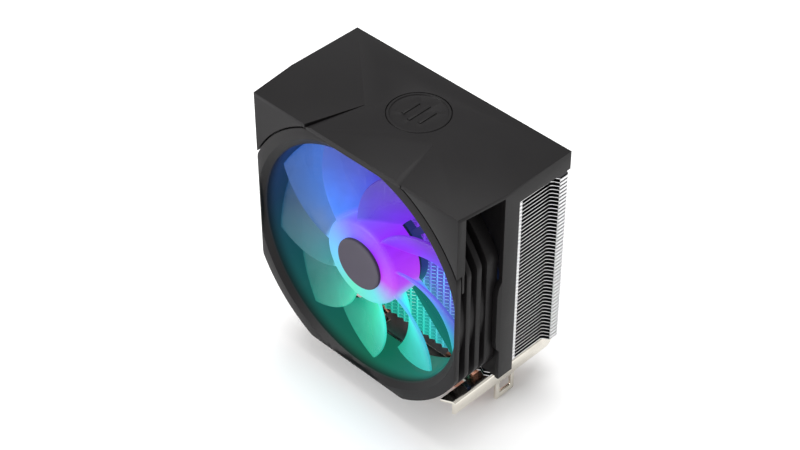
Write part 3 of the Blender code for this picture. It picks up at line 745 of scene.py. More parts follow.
    @staticmethod
    def work(obj: bpy.types.Object, kind: Work, *tools: bpy.types.Object) -> None:
        """Let tools shape a piece, and use them up.

        Args:
            obj: the piece.
            kind: whether it is cut by them, joined to them or kept within them.
            tools: the tools, one after another.
        """
        for tool in tools:
            modifier = obj.modifiers.new("work", "BOOLEAN")
            modifier.operation = kind.value
            modifier.solver = "EXACT"
            modifier.object = tool
            Bench.apply(obj, modifier)
            bpy.data.objects.remove(tool, do_unlink=True)

    @staticmethod
    def soften(obj: bpy.types.Object, width: float, segments: int = 2, angle: float = 35.0) -> None:
        """Round the sharp edges.

        Args:
            obj: the piece.
            width: the width of the rounding.
            segments: faces across it.
            angle: how far an edge turns, in degrees, before it is rounded.
        """
        modifier = obj.modifiers.new("soften", "BEVEL")
        modifier.width = width
        modifier.segments = segments
        modifier.limit_method = "ANGLE"
        modifier.angle_limit = math.radians(angle)
        modifier.use_clamp_overlap = True
        modifier.harden_normals = False
        Bench.apply(obj, modifier)

    @staticmethod
    def smooth(obj: bpy.types.Object, angle: float = 32.0) -> None:
        """Shade smooth, but not across sharp edges."""
        Bench.take(obj)
        bpy.ops.object.shade_smooth_by_angle(angle=math.radians(angle))


def arc(radius: float, start: float, end: float, steps: int, centre: Pair = (0.0, 0.0)) -> list[Pair]:
    """Points on a circle, from one angle to another in degrees."""
    angles = [math.radians(start + (end - start) * step / steps) for step in range(steps + 1)]
    return [(centre[0] + radius * math.cos(a), centre[1] + radius * math.sin(a)) for a in angles]


def mirrored(points: Sequence[Pair]) -> list[Pair]:
    """A right-hand outline closed by its mirror image in the Y axis."""
    return [*points, *[(-x, y) for x, y in reversed(points)]]


TO_YZ = Matrix(((0, 0, 1, 0), (1, 0, 0, 0), (0, 1, 0, 0), (0, 0, 0, 1)))
TO_XZ = Matrix(((1, 0, 0, 0), (0, 0, 1, 0), (0, 1, 0, 0), (0, 0, 0, 1)))


# ------------------------------------------------------------------ places read from the frame
@dataclass(frozen=True)
class Layout:
    """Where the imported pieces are, in metres."""

    fan_low: Vector
    fan_high: Vector
    cover_low: Vector
    cover_high: Vector
    fins_low: Vector
    fins_high: Vector
    hub_cap_front: float

    @classmethod
    def read(cls) -> "Layout":
        """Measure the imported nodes.

        Returns:
            The layout.
        """
        return cls(
            *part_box("fan_frame"),
            *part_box("shroud"),
            *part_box("fin_stack"),
            hub_cap_front=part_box("hub_cap")[0].y,
        )

    @property
    def fan_centre(self) -> Vector:
        """The point of the fan's axis on its front face."""
        middle = (self.fan_low + self.fan_high) / 2
        return Vector((0.0, self.fan_low.y, middle.z))

    @property
    def fan_half(self) -> float:
        """Half the fan's square."""
        return (self.fan_high.x - self.fan_low.x) / 2


def node_middle(name: str) -> Triple:
    """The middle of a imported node's box."""
    low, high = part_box(name)
    return tuple((near + far) / 2 for near, far in zip(low, high))


def hand_over(
    obj: bpy.types.Object, body: Body, finish: bpy.types.Material, nodes: Sequence[str] = ()
) -> bpy.types.Object:
    """Dress a finished piece and tie it to its body.

    Args:
        obj: the piece, in place.
        body: the body it moves with.
        finish: its material.
        nodes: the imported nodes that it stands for.

    Returns:
        The piece.
    """
    Bench.clear()
    obj.data.materials.clear()
    obj.data.materials.append(finish)
    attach(obj, body.value)
    if nodes:
        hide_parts(*nodes)
    LOG.info("%s: %d faces on %s", obj.name, len(obj.data.polygons), body.value)
    return obj


# ------------------------------------------------------------------ shroud
@dataclass
class ShroudMaker:
    """The black cover: top plate, front cheeks, side legs, corner webs and side skirts."""

    layout: Layout
    wall: float = 2.0 * MM
    front_half: float = 60.0 * MM
    leg_lead: float = 0.2 * MM
    leg_depth: float = 8.9 * MM
    skirt_drop: Pair = (6.8 * MM, 7.3 * MM)
    cheek_depth: float = 4.8 * MM
    cheek_radius: float = 67.3 * MM
    web_radius: float = 63.5 * MM
    web_depths: Pair = (0.3 * MM, 1.5 * MM)
    tongue_drop: float = 4.75 * MM
    tongue_steps: tuple[Pair, ...] = ((0.0, 20 * MM), (1.75 * MM, 17.5 * MM), (2.5 * MM, 13 * MM))
    grip_gap: float = 1.25 * MM
    grip_side: float = 55.6 * MM
    grip_half: float = 40.0 * MM
    grip_width: float = 5.0 * MM
    crease_ends: tuple[Pair, Pair] = ((28.0 * MM, 0.0), (20.0 * MM, 27.0 * MM))
    crease_rise: float = 0.6 * MM
    crease_slope: tuple[Pair, Pair] = ((-3.4 * MM, 0.0), (0.3 * MM, -1.4 * MM))
    crease_slit: tuple[Pair, Pair] = ((0.1 * MM, -1.9 * MM), (0.8 * MM, -1.9 * MM))
    lip_depths: Pair = (3.3 * MM, 4.6 * MM)
    lip_radius: float = 63.5 * MM
    badge_place: float = 39.4 * MM
    badge_radius: float = 14.3 * MM
    badge_depth: float = 1.1 * MM
    edge: float = 0.3 * MM
    reach: float = 8.0 * MM
    embed: float = 0.5 * MM

    def __post_init__(self) -> None:
        """Take the outer sizes from the layout."""
        self.low = self.layout.cover_low
        self.high = self.layout.cover_high
        self.underside = self.high.z - self.wall
        self.leg_front = self.layout.fan_high.y - self.leg_lead
        self.centre_z = self.layout.fan_centre.z

    def shell(self) -> bpy.types.Object:
        """The cover's plate and sides, hollow, with the side cut away in front of and behind the legs.

        Returns:
            The new object, in place.
        """
        outline = mirrored(
            [(self.front_half, self.low.y), (self.high.x, self.leg_front), (self.high.x, self.high.y)]
        )
        body = Bench.sheet("shroud_cover", outline, self.low.z, self.high.z)
        inside = self.high.x - self.wall
        front = self.low.y - self.reach
        foot = self.low.z - self.reach
        back = self.high.y + self.reach
        wide = self.high.x + self.reach
        hollow = Bench.block("hollow", (-inside, front, foot), (inside, back, self.underside))
        ahead = Bench.block("ahead", (-wide, front, foot), (wide, self.leg_front, self.underside))
        leg_back = self.leg_front + self.leg_depth
        slope = [
            (leg_back, foot),
            (back, foot),
            (back, self.underside - self.skirt_drop[1]),
            (leg_back, self.underside - self.skirt_drop[0]),
        ]
        behind = Bench.sheet("behind", slope, -wide, wide, TO_YZ)
        Bench.work(body, Work.CUT, hollow, ahead, behind)
        return body

    def cheeks(self) -> bpy.types.Object:
        """Front corners outside the fan's round flange.

        Returns:
            The new object, in place.
        """
        low = (-self.front_half, self.low.y, self.centre_z)
        high = (self.front_half, self.low.y + self.cheek_depth, self.underside + self.embed)
        cheeks = Bench.block("cheeks", low, high)
        start = (0.0, self.low.y - self.reach, self.centre_z)
        end = (0.0, self.low.y + self.cheek_depth + self.reach, self.centre_z)
        Bench.work(cheeks, Work.CUT, Bench.rod("round", self.cheek_radius, start, end, 192))
        return cheeks

    def webs(self) -> bpy.types.Object:
        """Thin corner walls behind the fan.

        Returns:
            The new object, in place.
        """
        half = self.high.x - self.wall + self.embed
        near, far = (self.layout.fan_high.y + depth for depth in self.web_depths)
        webs = Bench.block("webs", (-half, near, self.low.z), (half, far, self.underside + self.embed))
        start = (0.0, near - self.reach, self.centre_z)
        end = (0.0, far + self.reach, self.centre_z)
        Bench.work(webs, Work.CUT, Bench.rod("round", self.web_radius, start, end, 128))
        return webs

    def side_features(self) -> list[bpy.types.Object]:
        """Tongues beside the fan's back flange, and ribs that grip the fins.

        Returns:
            The tongue and the rib of each side.
        """
        made = []
        middle = self.centre_z - self.tongue_drop
        root = (self.leg_front + self.embed, self.tongue_steps[0][1])
        upper = [root, *[(self.leg_front - reach, rise) for reach, rise in self.tongue_steps]]
        lower = [(y, -rise) for y, rise in reversed(upper)]
        tongue = [(y, middle + rise) for y, rise in (*upper, *lower)]
        grip_y = self.layout.fan_high.y + self.web_depths[1] + self.grip_gap
        grip_z = (self.low.z + self.underside) / 2
        for side in (-1, 1):
            faces = sorted((side * (self.layout.fan_half + 0.3 * MM), side * self.high.x))
            made.append(Bench.sheet("tongue", tongue, *faces, TO_YZ))
            near, far = sorted((side * self.grip_side, side * (self.high.x - self.wall + self.embed)))
            low = (near, grip_y, grip_z - self.grip_half)
            high = (far, grip_y + self.grip_width, grip_z + self.grip_half)
            made.append(Bench.block("grip", low, high))
        return made

    def creases(self) -> list[bpy.types.Object]:
        """Cutters for the two tapered creases: a thin slit beside a slope that rises inwards.

        Returns:
            The cutters of both sides.
        """
        made = []
        (start_x, start_y), (end_x, end_y) = self.crease_ends
        start = Vector((start_x, self.low.y + start_y - MM, self.high.z))
        end = Vector((end_x, self.low.y + end_y, self.high.z))
        for side in (-1, 1):
            for near, far in (self.crease_slope, self.crease_slit):
                section = [(far[0], self.crease_rise), (near[0], self.crease_rise), near, far]
                cutter = Bench.sheet("crease", section, 0.0, 1.0)
                for vertex in cutter.data.vertices:
                    share = 1.0 - 0.9 * vertex.co.z
                    middle = start.lerp(end, vertex.co.z)
                    x = middle.x + share * vertex.co.x
                    vertex.co = (side * x, middle.y, middle.z + share * vertex.co.y)
                Bench.face_out(cutter)
                made.append(cutter)
        return made

    def filler(self) -> bpy.types.Object:
        """A lip that closes the line between the cover's front edge and the flange below it.

        Returns:
            The new object, in place.
        """
        half = self.crease_ends[0][0] - 0.6 * MM
        low = (-half, self.low.y, self.underside - 0.28 * MM)
        return Bench.block("lip", low, (half, self.low.y + 1.5 * MM, self.underside + MM))

    def groove_back(self) -> bpy.types.Object:
        """A thin lip behind the fan's front flange, so that no light comes through the round groove.

        Returns:
            The new object, in place.
        """
        near, far = (self.low.y + depth for depth in self.lip_depths)
        low = (-self.front_half, near, self.centre_z)
        lip = Bench.block("groove_back", low, (self.front_half, far, self.underside + self.embed))
        start = (0.0, near - self.reach, self.centre_z)
        end = (0.0, far + self.reach, self.centre_z)
        Bench.work(lip, Work.CUT, Bench.rod("round", self.lip_radius, start, end, 128))
        return lip

    def badge_pocket(self) -> bpy.types.Object:
        """The cutter for the round recess in the top.

        Returns:
            The cutter.
        """
        y = self.low.y + self.badge_place
        start = (0.0, y, self.high.z - self.badge_depth)
        return Bench.rod("pocket", self.badge_radius, start, (0.0, y, self.high.z + self.reach), 96)

    def badge(self) -> bpy.types.Object:
        """A plain round insert: a dished disc with a raised ring and three bars.

        Returns:
            The new object, in place.
        """
        low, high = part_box("badge")
        middle = (low + high) / 2
        radius = (high.x - low.x) / 2
        height = high.z - low.z
        rim = radius - 1.2 * MM
        profile = [
            (0.0, 0.0),
            (radius, 0.0),
            (radius, 0.6 * height),
            (radius - 0.3 * MM, height),
            (rim, height),
            (rim - 0.3 * MM, 0.45 * height),
            (0.0, 0.45 * height),
        ]
        disc = Bench.lathe("badge_disc", profile, (0.0, middle.y, low.z), 96, upright=True)
        for index in (-1, 0, 1):
            x = index * 4.8 * MM
            half = (6.4 if index == 0 else 4.9) * MM
            start = (x - 0.8 * MM, middle.y - half, low.z + 0.2 * height)
            bar = Bench.block("bar", start, (x + 0.8 * MM, middle.y + half, high.z))
            Bench.work(disc, Work.JOIN, bar)
        Bench.soften(disc, 0.12 * MM, 2)
        Bench.smooth(disc)
        return disc

    def build(self, plastic: bpy.types.Material) -> None:
        """Make the cover and its badge.

        Args:
            plastic: the finish of both.
        """
        cover = self.shell()
        Bench.work(cover, Work.JOIN, self.cheeks(), self.groove_back(), self.webs(), *self.side_features())
        Bench.work(cover, Work.CUT, self.badge_pocket())
        Bench.tidy_mesh(cover)
        Bench.soften(cover, self.edge, 3)
        Bench.work(cover, Work.JOIN, self.filler())
        Bench.work(cover, Work.CUT, *self.creases())
        Bench.smooth(cover)
        hand_over(cover, Body.MODULE, plastic, ["shroud"])
        hand_over(self.badge(), Body.MODULE, plastic, ["badge"])


# ------------------------------------------------------------------ fan
@dataclass
class FanMaker:
    """The fan's housing, its lit impeller and the cap on the hub."""

    layout: Layout
    flange_radius: float = 66.5 * MM
    duct_radius: float = 59.2 * MM
    bore_radius: float = 58.0 * MM
    bell_radius: float = 61.3 * MM
    bell_depth: float = 2.4 * MM
    bell_half: float = 59.2 * MM
    rib_edges: tuple[float, ...] = (2.8 * MM, 6.3 * MM, 8.9 * MM, 12.3 * MM, 15.2 * MM, 18.3 * MM)
    motor_radius: float = 21.0 * MM
    motor_plate: float = 3.8 * MM
    strut_width: float = 3.0 * MM
    hub_radius: float = 21.2 * MM
    hub_wall: float = 1.5 * MM
    hub_front: float = 3.9 * MM
    hub_back: float = 19.2 * MM
    blade_count: int = 9
    blade_tip: float = 56.5 * MM
    blade_front: float = 5.2 * MM
    blade_back: float = 19.4 * MM
    blade_thickness: float = 1.2 * MM
    blade_sweep: float = 24.0
    blade_wrap: float = 36.8
    tube_bore: float = 3.3 * MM
    tube_radius: float = 4.6 * MM
    tube_start: float = 8.5 * MM
    around: int = 180

    def housing(self) -> bpy.types.Object:
        """The duct with its flanges and ribs, clipped by the fan's square, and its struts.

        Returns:
            The new object, in place.
        """
        depth = self.layout.fan_high.y - self.layout.fan_low.y
        profile = [(self.flange_radius, 0.0)]
        for index, edge in enumerate(self.rib_edges):
            radii = (self.flange_radius, self.duct_radius)
            first, second = radii if index % 2 == 0 else radii[::-1]
            profile += [(first, edge), (second, edge)]
        profile += [(self.flange_radius, depth), (self.bore_radius + 1.0 * MM, depth)]
        profile += [(self.bore_radius, depth - 2.0 * MM), (self.bore_radius, self.bell_depth)]
        for share in (0.35, 0.7, 1.0):
            wide = self.bore_radius + share * (self.bell_radius - self.bore_radius)
            profile.append((wide, self.bell_depth * (1.0 - share)))
        centre = self.layout.fan_centre
        housing = Bench.lathe("fan_housing", profile, centre, self.around)
        for vertex in housing.data.vertices:
            radius = math.hypot(vertex.co.x - centre.x, vertex.co.z - centre.z)
            mouth = radius < self.bell_radius + 0.1 * MM and vertex.co.y < centre.y + self.bell_depth
            half = self.bell_half if mouth else self.layout.fan_half
            across = max(-half, min(half, vertex.co.x - centre.x))
            up = max(-half, min(half, vertex.co.z - centre.z))
            vertex.co.x = centre.x + across
            vertex.co.z = centre.z + up
        Bench.tidy_mesh(housing)
        for strut in self.struts(depth):
            Bench.work(housing, Work.JOIN, strut)
        Bench.work(housing, Work.JOIN, self.motor_mount(depth))
        Bench.soften(housing, 0.2 * MM, 2, angle=40.0)
        Bench.smooth(housing)
        return housing

    def struts(self, depth: float) -> list[bpy.types.Object]:
        """Arms from the motor plate to the duct.

        Args:
            depth: the fan's depth.

        Returns:
            The four arms.
        """
        centre = self.layout.fan_centre
        made = []
        for index in range(4):
            half = self.strut_width / 2
            back = centre.y + depth
            low = (self.motor_radius - 1.0 * MM, back - self.motor_plate, centre.z - half)
            high = (self.bore_radius + 0.5 * MM, back, centre.z + half)
            strut = Bench.block("strut", low, high)
            Bench.turn_about(strut, math.radians(45 + 90 * index), centre)
            made.append(strut)
        return made

    def motor_mount(self, depth: float) -> bpy.types.Object:
        """The round plate behind the motor, with its bearing tube.

        Args:
            depth: the fan's depth.

        Returns:
            The new object, in place.
        """
        front = depth - self.motor_plate
        profile = [
            (0.0, depth - 2.7 * MM),
            (self.tube_bore, depth - 2.7 * MM),
            (self.tube_bore, self.tube_start),
            (self.tube_radius, self.tube_start),
            (self.tube_radius, front),
            (self.motor_radius, front),
            (self.motor_radius, depth - 0.8 * MM),
            (self.motor_radius - 0.8 * MM, depth),
            (self.motor_radius - 3.0 * MM, depth),
            (self.motor_radius - 3.6 * MM, depth - 0.5 * MM),
            (0.0, depth - 0.5 * MM),
        ]
        return Bench.lathe("motor_mount", profile, self.layout.fan_centre, 72)

    def hub(self) -> bpy.types.Object:
        """The hub's cup, rounded at its front edge.

        Returns:
            The new object, in place.
        """
        inside = self.hub_radius - self.hub_wall
        rib = 16.3 * MM
        wall_back = self.hub_front + self.hub_wall
        corner = 2.6 * MM
        rounding = [
            (self.hub_radius - corner + x, self.hub_front + corner - y)
            for x, y in arc(corner, 90, 0, 8)
        ]
        profile = [
            (0.0, self.hub_front),
            (13.4 * MM, self.hub_front),
            *rounding,
            (self.hub_radius, self.hub_back - 0.3 * MM),
            (self.hub_radius - 0.3 * MM, self.hub_back),
            (inside, self.hub_back),
            (inside, wall_back + 0.6 * MM),
            (rib + 0.8 * MM, wall_back),
            (rib + 0.8 * MM, wall_back + 4.8 * MM),
            (rib, wall_back + 4.8 * MM),
            (rib, wall_back),
            (0.0, wall_back),
        ]
        return Bench.lathe("fan_impeller", profile, self.layout.fan_centre, 108)

    def blade_point(self, along: float, across: float) -> Triple:
        """A point of the first blade, whose front edge leads.

        Args:
            along: 0 at the root to 1 at the tip.
            across: 0 at the front edge to 1 at the back edge.

        Returns:
            The point, in metres.
        """
        centre = self.layout.fan_centre
        root = self.hub_radius - self.hub_wall / 2
        radius = root + (self.blade_tip - root) * along
        lead = self.blade_wrap * (0.5 - across)
        angle = math.radians(lead - self.blade_sweep * along**1.4)
        rise = (self.blade_back - self.blade_front) * (1.0 - 0.15 * along)
        depth = self.blade_back - rise * (1.0 - across) ** 0.85
        x = radius * math.cos(angle)
        z = radius * math.sin(angle)
        return (centre.x + x, centre.y + depth, centre.z + z)

    def blade(self) -> bpy.types.Object:
        """One blade: a grid bent to its twist, thickened and with softened edges.

        Returns:
            The new object, in place.
        """
        Bench.clear()
        bpy.ops.mesh.primitive_grid_add(x_subdivisions=22, y_subdivisions=9, size=1.0)
        blade = Bench.named("blade")
        for vertex in blade.data.vertices:
            vertex.co = self.blade_point(vertex.co.x + 0.5, vertex.co.y + 0.5)
        modifier = blade.modifiers.new("thickness", "SOLIDIFY")
        modifier.thickness = self.blade_thickness
        modifier.offset = 0.0
        Bench.apply(blade, modifier)
        Bench.face_out(blade)
        Bench.soften(blade, 0.35 * MM, 2, angle=50.0)
        return blade

    def impeller(self) -> bpy.types.Object:
        """The hub with all its blades.

        Returns:
            The new object, in place.
        """
        centre = self.layout.fan_centre
        hub = self.hub()
        first = self.blade()
        blades = [first]
        for index in range(1, self.blade_count):
            copy = Bench.copy(first, "blade")
            Bench.turn_about(copy, math.tau / self.blade_count * index, centre)
            blades.append(copy)
        Bench.work(hub, Work.JOIN, *blades)
        Bench.smooth(hub, 40.0)
        return hub

    def cap(self) -> bpy.types.Object:
        """The matt disc on the hub, slightly dished, with a rounded rim.

        Returns:
            The new object, in place.
        """
        low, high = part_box("hub_cap")
        radius = (high.x - low.x) / 2
        thick = high.y - low.y
        corner = 0.6 * MM
        rim = [(radius - corner + x, corner - y) for x, y in arc(corner, 90, 0, 5)]
        profile = [(0.0, 0.25 * MM), (radius - 2.2 * MM, 0.2 * MM), (radius - 1.4 * MM, 0.0), *rim]
        profile += [(radius, thick), (0.0, thick)]
        centre = (0.0, low.y, self.layout.fan_centre.z)
        cap = Bench.lathe("hub_cap_disc", profile, centre, 96)
        Bench.smooth(cap)
        return cap

    def build(self, plastic: bpy.types.Material, lit: bpy.types.Material, matt: bpy.types.Material) -> None:
        """Make the fan's visible pieces.

        Args:
            plastic: the housing's finish.
            lit: the impeller's finish.
            matt: the cap's finish.
        """
        hand_over(self.housing(), Body.MODULE, plastic, ["fan_frame"])
        hand_over(self.impeller(), Body.ROTOR, lit, ["impeller"])
        hand_over(self.cap(), Body.ROTOR, matt, ["hub_cap"])


# ------------------------------------------------------------------ fins
@dataclass
class FinMaker:
    """The fin stack: thin plates with folded tabs, saw-toothed front and back edges and pipe collars."""

    layout: Layout
    pitch: float = 2.06 * MM
    thickness: float = 0.4 * MM
    side: float = 55.3 * MM
    ear: float = 58.5 * MM
    ear_depth: float = 6.3 * MM
    ear_slope: float = 2.4 * MM
    tooth: float = 4.0 * MM
    front_tooth: float = 1.2 * MM
    back_tooth: float = 1.6 * MM
    tab_height: float = 1.75 * MM
    tab_wall: float = 0.3 * MM
    pipe_radius: float = 3.0 * MM

    def teeth(self, half: float, inner: float, outer: float) -> list[Pair]:
        """A zig-zag edge from -half to half, between two depths.

        Args:
            half: half the edge's length.
            inner: depth of the notches.
            outer: depth of the points.

        Returns:
            The edge's points, from -X to +X.
        """
        steps = int(half // (self.tooth / 2))
        points = []
        for index in range(-steps + 1, steps):
            x = index * self.tooth / 2
            points.append((x, outer if index % 2 == 0 else inner))
        return points

    def outline(self) -> list[Pair]:
        """One fin seen from above, anticlockwise from its front left corner.

        Returns:
            The outline's points.
        """
        front = self.layout.fins_low.y
        back = self.layout.fins_high.y
        slope_end = back - self.ear_depth
        slope_start = slope_end - self.ear_slope
        right = [
            (self.side - 2.4 * MM, front),
            (self.side, front + 1.4 * MM),
            (self.side, slope_start),
            (self.side + 0.8 * MM, slope_start + 1.0 * MM),
            (self.ear, slope_end),
            (self.ear, back - 1.0 * MM),
            (self.ear - 2.0 * MM, back),
        ]
        front_edge = self.teeth(self.side - 3.0 * MM, front + self.front_tooth, front)
        back_edge = self.teeth(self.ear - 4.0 * MM, back - self.back_tooth, back)
        left = [(-x, y) for x, y in reversed(right)]
        return [*front_edge, *right, *reversed(back_edge), *left]

    def pipe_places(self) -> list[Pair]:
        """Where the pipes pass through.

        Returns:
            The (x, y) of each arm of each pipe.
        """
        places = []
        for number in range(1, 5):
            low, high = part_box(f"heat_pipe_{number}")
            y = node_middle(f"heat_pipe_{number}")[1]
            places += [(low.x + self.pipe_radius, y), (high.x - self.pipe_radius, y)]
        return places

    def fin(self) -> bpy.types.Object:
        """The lowest fin, with round holes and their drawn collars.

        Returns:
            The new object, in place.
        """
        floor = self.layout.fins_low.z
        top = floor + self.thickness
        fin = Bench.sheet("fin", self.outline(), floor, top)
        holes = []
        collars = []
        inner = self.pipe_radius + 0.08 * MM
        outer = inner + 0.35 * MM
        for x, y in self.pipe_places():
            holes.append(Bench.rod("hole", outer - 0.05 * MM, (x, y, floor - MM), (x, y, top + MM), 20))
            profile = [(inner, 0.0), (outer, 0.0), (outer, 1.5 * MM), (inner, 1.5 * MM)]
            collars.append(Bench.lathe("collar", profile, (x, y, floor), 20, upright=True))
        Bench.work(fin, Work.CUT, Bench.gather(holes, "holes"))
        return Bench.gather([fin, *collars, *self.tabs(floor)], "fin_plates")

    def tabs(self, floor: float) -> list[bpy.types.Object]:
        """Tabs folded up to the next fin: on the sides, on the ears and along the front teeth.

        Args:
            floor: height of the fin's underside.

        Returns:
            The tabs.
        """
        front = self.layout.fins_low.y
        back = self.layout.fins_high.y
        made = []
        top = floor + self.tab_height
        spans = (
            (self.side + 0.05 * MM, front + 9.0 * MM, front + 17.4 * MM),
            (self.ear, back - 6.0 * MM, back - 1.2 * MM),
        )
        for side in (-1, 1):
            for face, start, end in spans:
                near, far = sorted((side * (face - self.tab_wall), side * face))
                made.append(Bench.block("tab", (near, start, floor), (far, end, top)))
        reach = int((self.side - 5.0 * MM) // self.tooth)
        for index in range(-reach, reach + 1):
            x = index * self.tooth
            low = (x - 0.28 * MM, front, floor)
            made.append(Bench.block("tip", low, (x + 0.28 * MM, front + 0.35 * MM, top)))
        return made

    def build(self, aluminium: bpy.types.Material) -> None:
        """Make the stack.

        Args:
            aluminium: the stack's finish.
        """
        fins = self.fin()
        climb = self.layout.fins_high.z - self.thickness - self.layout.fins_low.z
        modifier = fins.modifiers.new("stack", "ARRAY")
        modifier.count = 1 + round(climb / self.pitch)
        modifier.use_relative_offset = False
        modifier.use_constant_offset = True
        modifier.constant_offset_displace = (0.0, 0.0, self.pitch)
        Bench.apply(fins, modifier)
        self.trim_top(fins)
        hand_over(fins, Body.TOWER, aluminium, ["fin_stack"])

    def trim_top(self, fins: bpy.types.Object) -> None:
        """Lower the top fin's tabs and collars to its own face.

        Args:
            fins: the whole stack.
        """
        limit = self.layout.fins_high.z
        for vertex in fins.data.vertices:
            vertex.co.z = min(vertex.co.z, limit)
        with Bench.editing(fins):
            bpy.ops.mesh.dissolve_degenerate(threshold=0.001 * MM)


# ------------------------------------------------------------------ pipes, base, brackets
@dataclass
class TowerMaker:
    """Heat pipes, base, brackets with their hooks, and screws."""

    layout: Layout
    pipe_radius: float = 3.0 * MM
    bends: tuple[float, ...] = (14.0 * MM, 11.0 * MM, 14.0 * MM, 11.0 * MM)
    tip: float = 3.0 * MM
    milled: float = 0.5 * MM
    clearance: float = 0.3 * MM
    base_height: float = 9.0 * MM
    arm_width: float = 4.9 * MM
    arm_start: float = 8.0 * MM
    screw_hole: float = 1.6 * MM
    bar_width: float = 6.4 * MM
    sheet_wall: float = 1.5 * MM
    fold: float = 2.0 * MM
    slant: float = 3.2 * MM
    flange_height: float = 7.6 * MM
    flange_corner: float = 4.0 * MM
    hook_half: float = 6.0 * MM
    window: tuple[Pair, Pair] = ((-3.6 * MM, 3.6 * MM), (3.6 * MM, 10.2 * MM))

    def pipe(self, number: int) -> bpy.types.Object:
        """One U-bent pipe, with a pinched end on each arm and its underside milled flat.

        Args:
            number: which pipe, from 1 at the front.

        Returns:
            The new object, in place.
        """
        low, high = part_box(f"heat_pipe_{number}")
        arm = high.x - self.pipe_radius
        y = (low.y + high.y) / 2
        axis_z = self.pipe_radius - self.milled
        bend = self.bends[number - 1]
        corner = arc(bend, -90, 0, 16, (arm - bend, axis_z + bend))
        half = [*corner, (arm, high.z - self.tip), (arm, high.z - 0.4 * self.tip), (arm, high.z)]
        swell = [1.0] * (len(half) - 2) + [0.82, 0.3]
        line = [(-x, z) for x, z in reversed(half)] + half
        radii = [*reversed(swell), *swell]
        Bench.clear()
        bpy.ops.curve.primitive_nurbs_path_add()
        curve = bpy.context.object
        curve.data.splines.clear()
        spline = curve.data.splines.new("POLY")
        spline.points.add(len(line) - 1)
        for point, (x, z), radius in zip(spline.points, line, radii):
            point.co = (x, y, z, 1.0)
            point.radius = radius
        curve.data.bevel_depth = self.pipe_radius
        curve.data.bevel_resolution = 6
        curve.data.use_fill_caps = True
        Bench.take(curve)
        bpy.ops.object.convert(target="MESH")
        pipe = Bench.named(f"copper_pipe_{number}")
        for vertex in pipe.data.vertices:
            vertex.co.z = max(vertex.co.z, 0.0)
        Bench.tidy_mesh(pipe)
        Bench.face_out(pipe)
        Bench.smooth(pipe, 50.0)
        return pipe

    def base(self) -> bpy.types.Object:
        """The milled block with a channel for each pipe and raised ends for the brackets.

        Returns:
            The new object, in place.
        """
        low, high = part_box("base_block")
        body_top = low.z + self.base_height
        base = Bench.block("cold_plate", low, (high.x, high.y, body_top))
        for near, far in self.arm_spans():
            pad = Bench.block("pad", (low.x, near, body_top - 0.5 * MM), (high.x, far, high.z))
            Bench.work(base, Work.JOIN, pad)
        radius = self.pipe_radius + self.clearance
        z = self.pipe_radius - self.milled
        for number in range(1, 5):
            y = node_middle(f"heat_pipe_{number}")[1]
            start = (low.x - MM, y, z)
            end = (high.x + MM, y, z)
            mouth = Bench.block("mouth", (low.x - MM, y - radius, -MM), (high.x + MM, y + radius, z))
            Bench.work(base, Work.CUT, Bench.rod("channel", radius, start, end, 40), mouth)
        for number in range(1, 5):
            x, y, _ = node_middle(f"bracket_screw_{number}")
            start = (x, y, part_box(f"bracket_screw_{number}")[0].z - self.clearance)
            hole = Bench.rod("hole", self.screw_hole, start, (x, y, high.z + MM), 24)
            Bench.work(base, Work.CUT, hole)
        Bench.soften(base, 0.25 * MM, 2)
        Bench.smooth(base)
        return base

    def arm_spans(self) -> tuple[Pair, Pair]:
        """The depths that the front and back arms cover."""
        low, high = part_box("base_block")
        return (low.y, low.y + self.arm_width), (high.y - self.arm_width, high.y)

    def bracket(self, side: int, label: str) -> bpy.types.Object:
        """A folded bar with a hook hanging from its flange, and two arms over the base.

        Args:
            side: -1 for the left bracket and 1 for the right one.
            label: left or right, as in its name.

        Returns:
            The new object, in place.
        """
        low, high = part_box(f"bracket_{label}")
        outer = max(abs(low.x), abs(high.x))
        inner = outer - self.bar_width
        wall = self.sheet_wall
        bend = (outer - self.fold, high.z - self.fold)
        section = [
            (inner, high.z),
            (inner, high.z - wall),
            *arc(self.fold - wall, 90, 0, 4, bend),
            (outer - wall, low.z - MM),
            (outer, low.z - MM),
            *arc(self.fold, 0, 90, 8, bend),
        ]
        section = [(side * x, z) for x, z in section]
        bar = Bench.sheet(f"mount_bar_{label}", section, low.y - MM, high.y + MM, TO_XZ)
        wide = sorted((side * (inner - 2 * MM), side * (outer + 2 * MM)))
        profile = Bench.sheet("profile", self.side_view(low, high), *wide, TO_YZ)
        Bench.work(bar, Work.KEEP, profile, self.plan_view(side, low, high, inner, outer))
        (near, bottom), (far, top) = self.window
        cutter = Bench.block("window", (wide[0], near, bottom), (wide[1], far, top))
        Bench.soften(cutter, 0.5 * MM, 3)
        Bench.work(bar, Work.CUT, cutter)
        for near, far in self.arm_spans():
            start, end = sorted((side * self.arm_start, side * (inner + 0.5 * MM)))
            arm = Bench.block("arm", (start, near, high.z - wall), (end, far, high.z))
            Bench.work(bar, Work.JOIN, arm)
        for number in range(1, 5):
            x, y, _ = node_middle(f"bracket_screw_{number}")
            if x * side > 0:
                start = (x, y, high.z - 4 * MM)
                hole = Bench.rod("hole", self.screw_hole, start, (x, y, high.z + MM), 24)
                Bench.work(bar, Work.CUT, hole)
        Bench.soften(bar, 0.25 * MM, 2, angle=40.0)
        Bench.smooth(bar)
        return bar

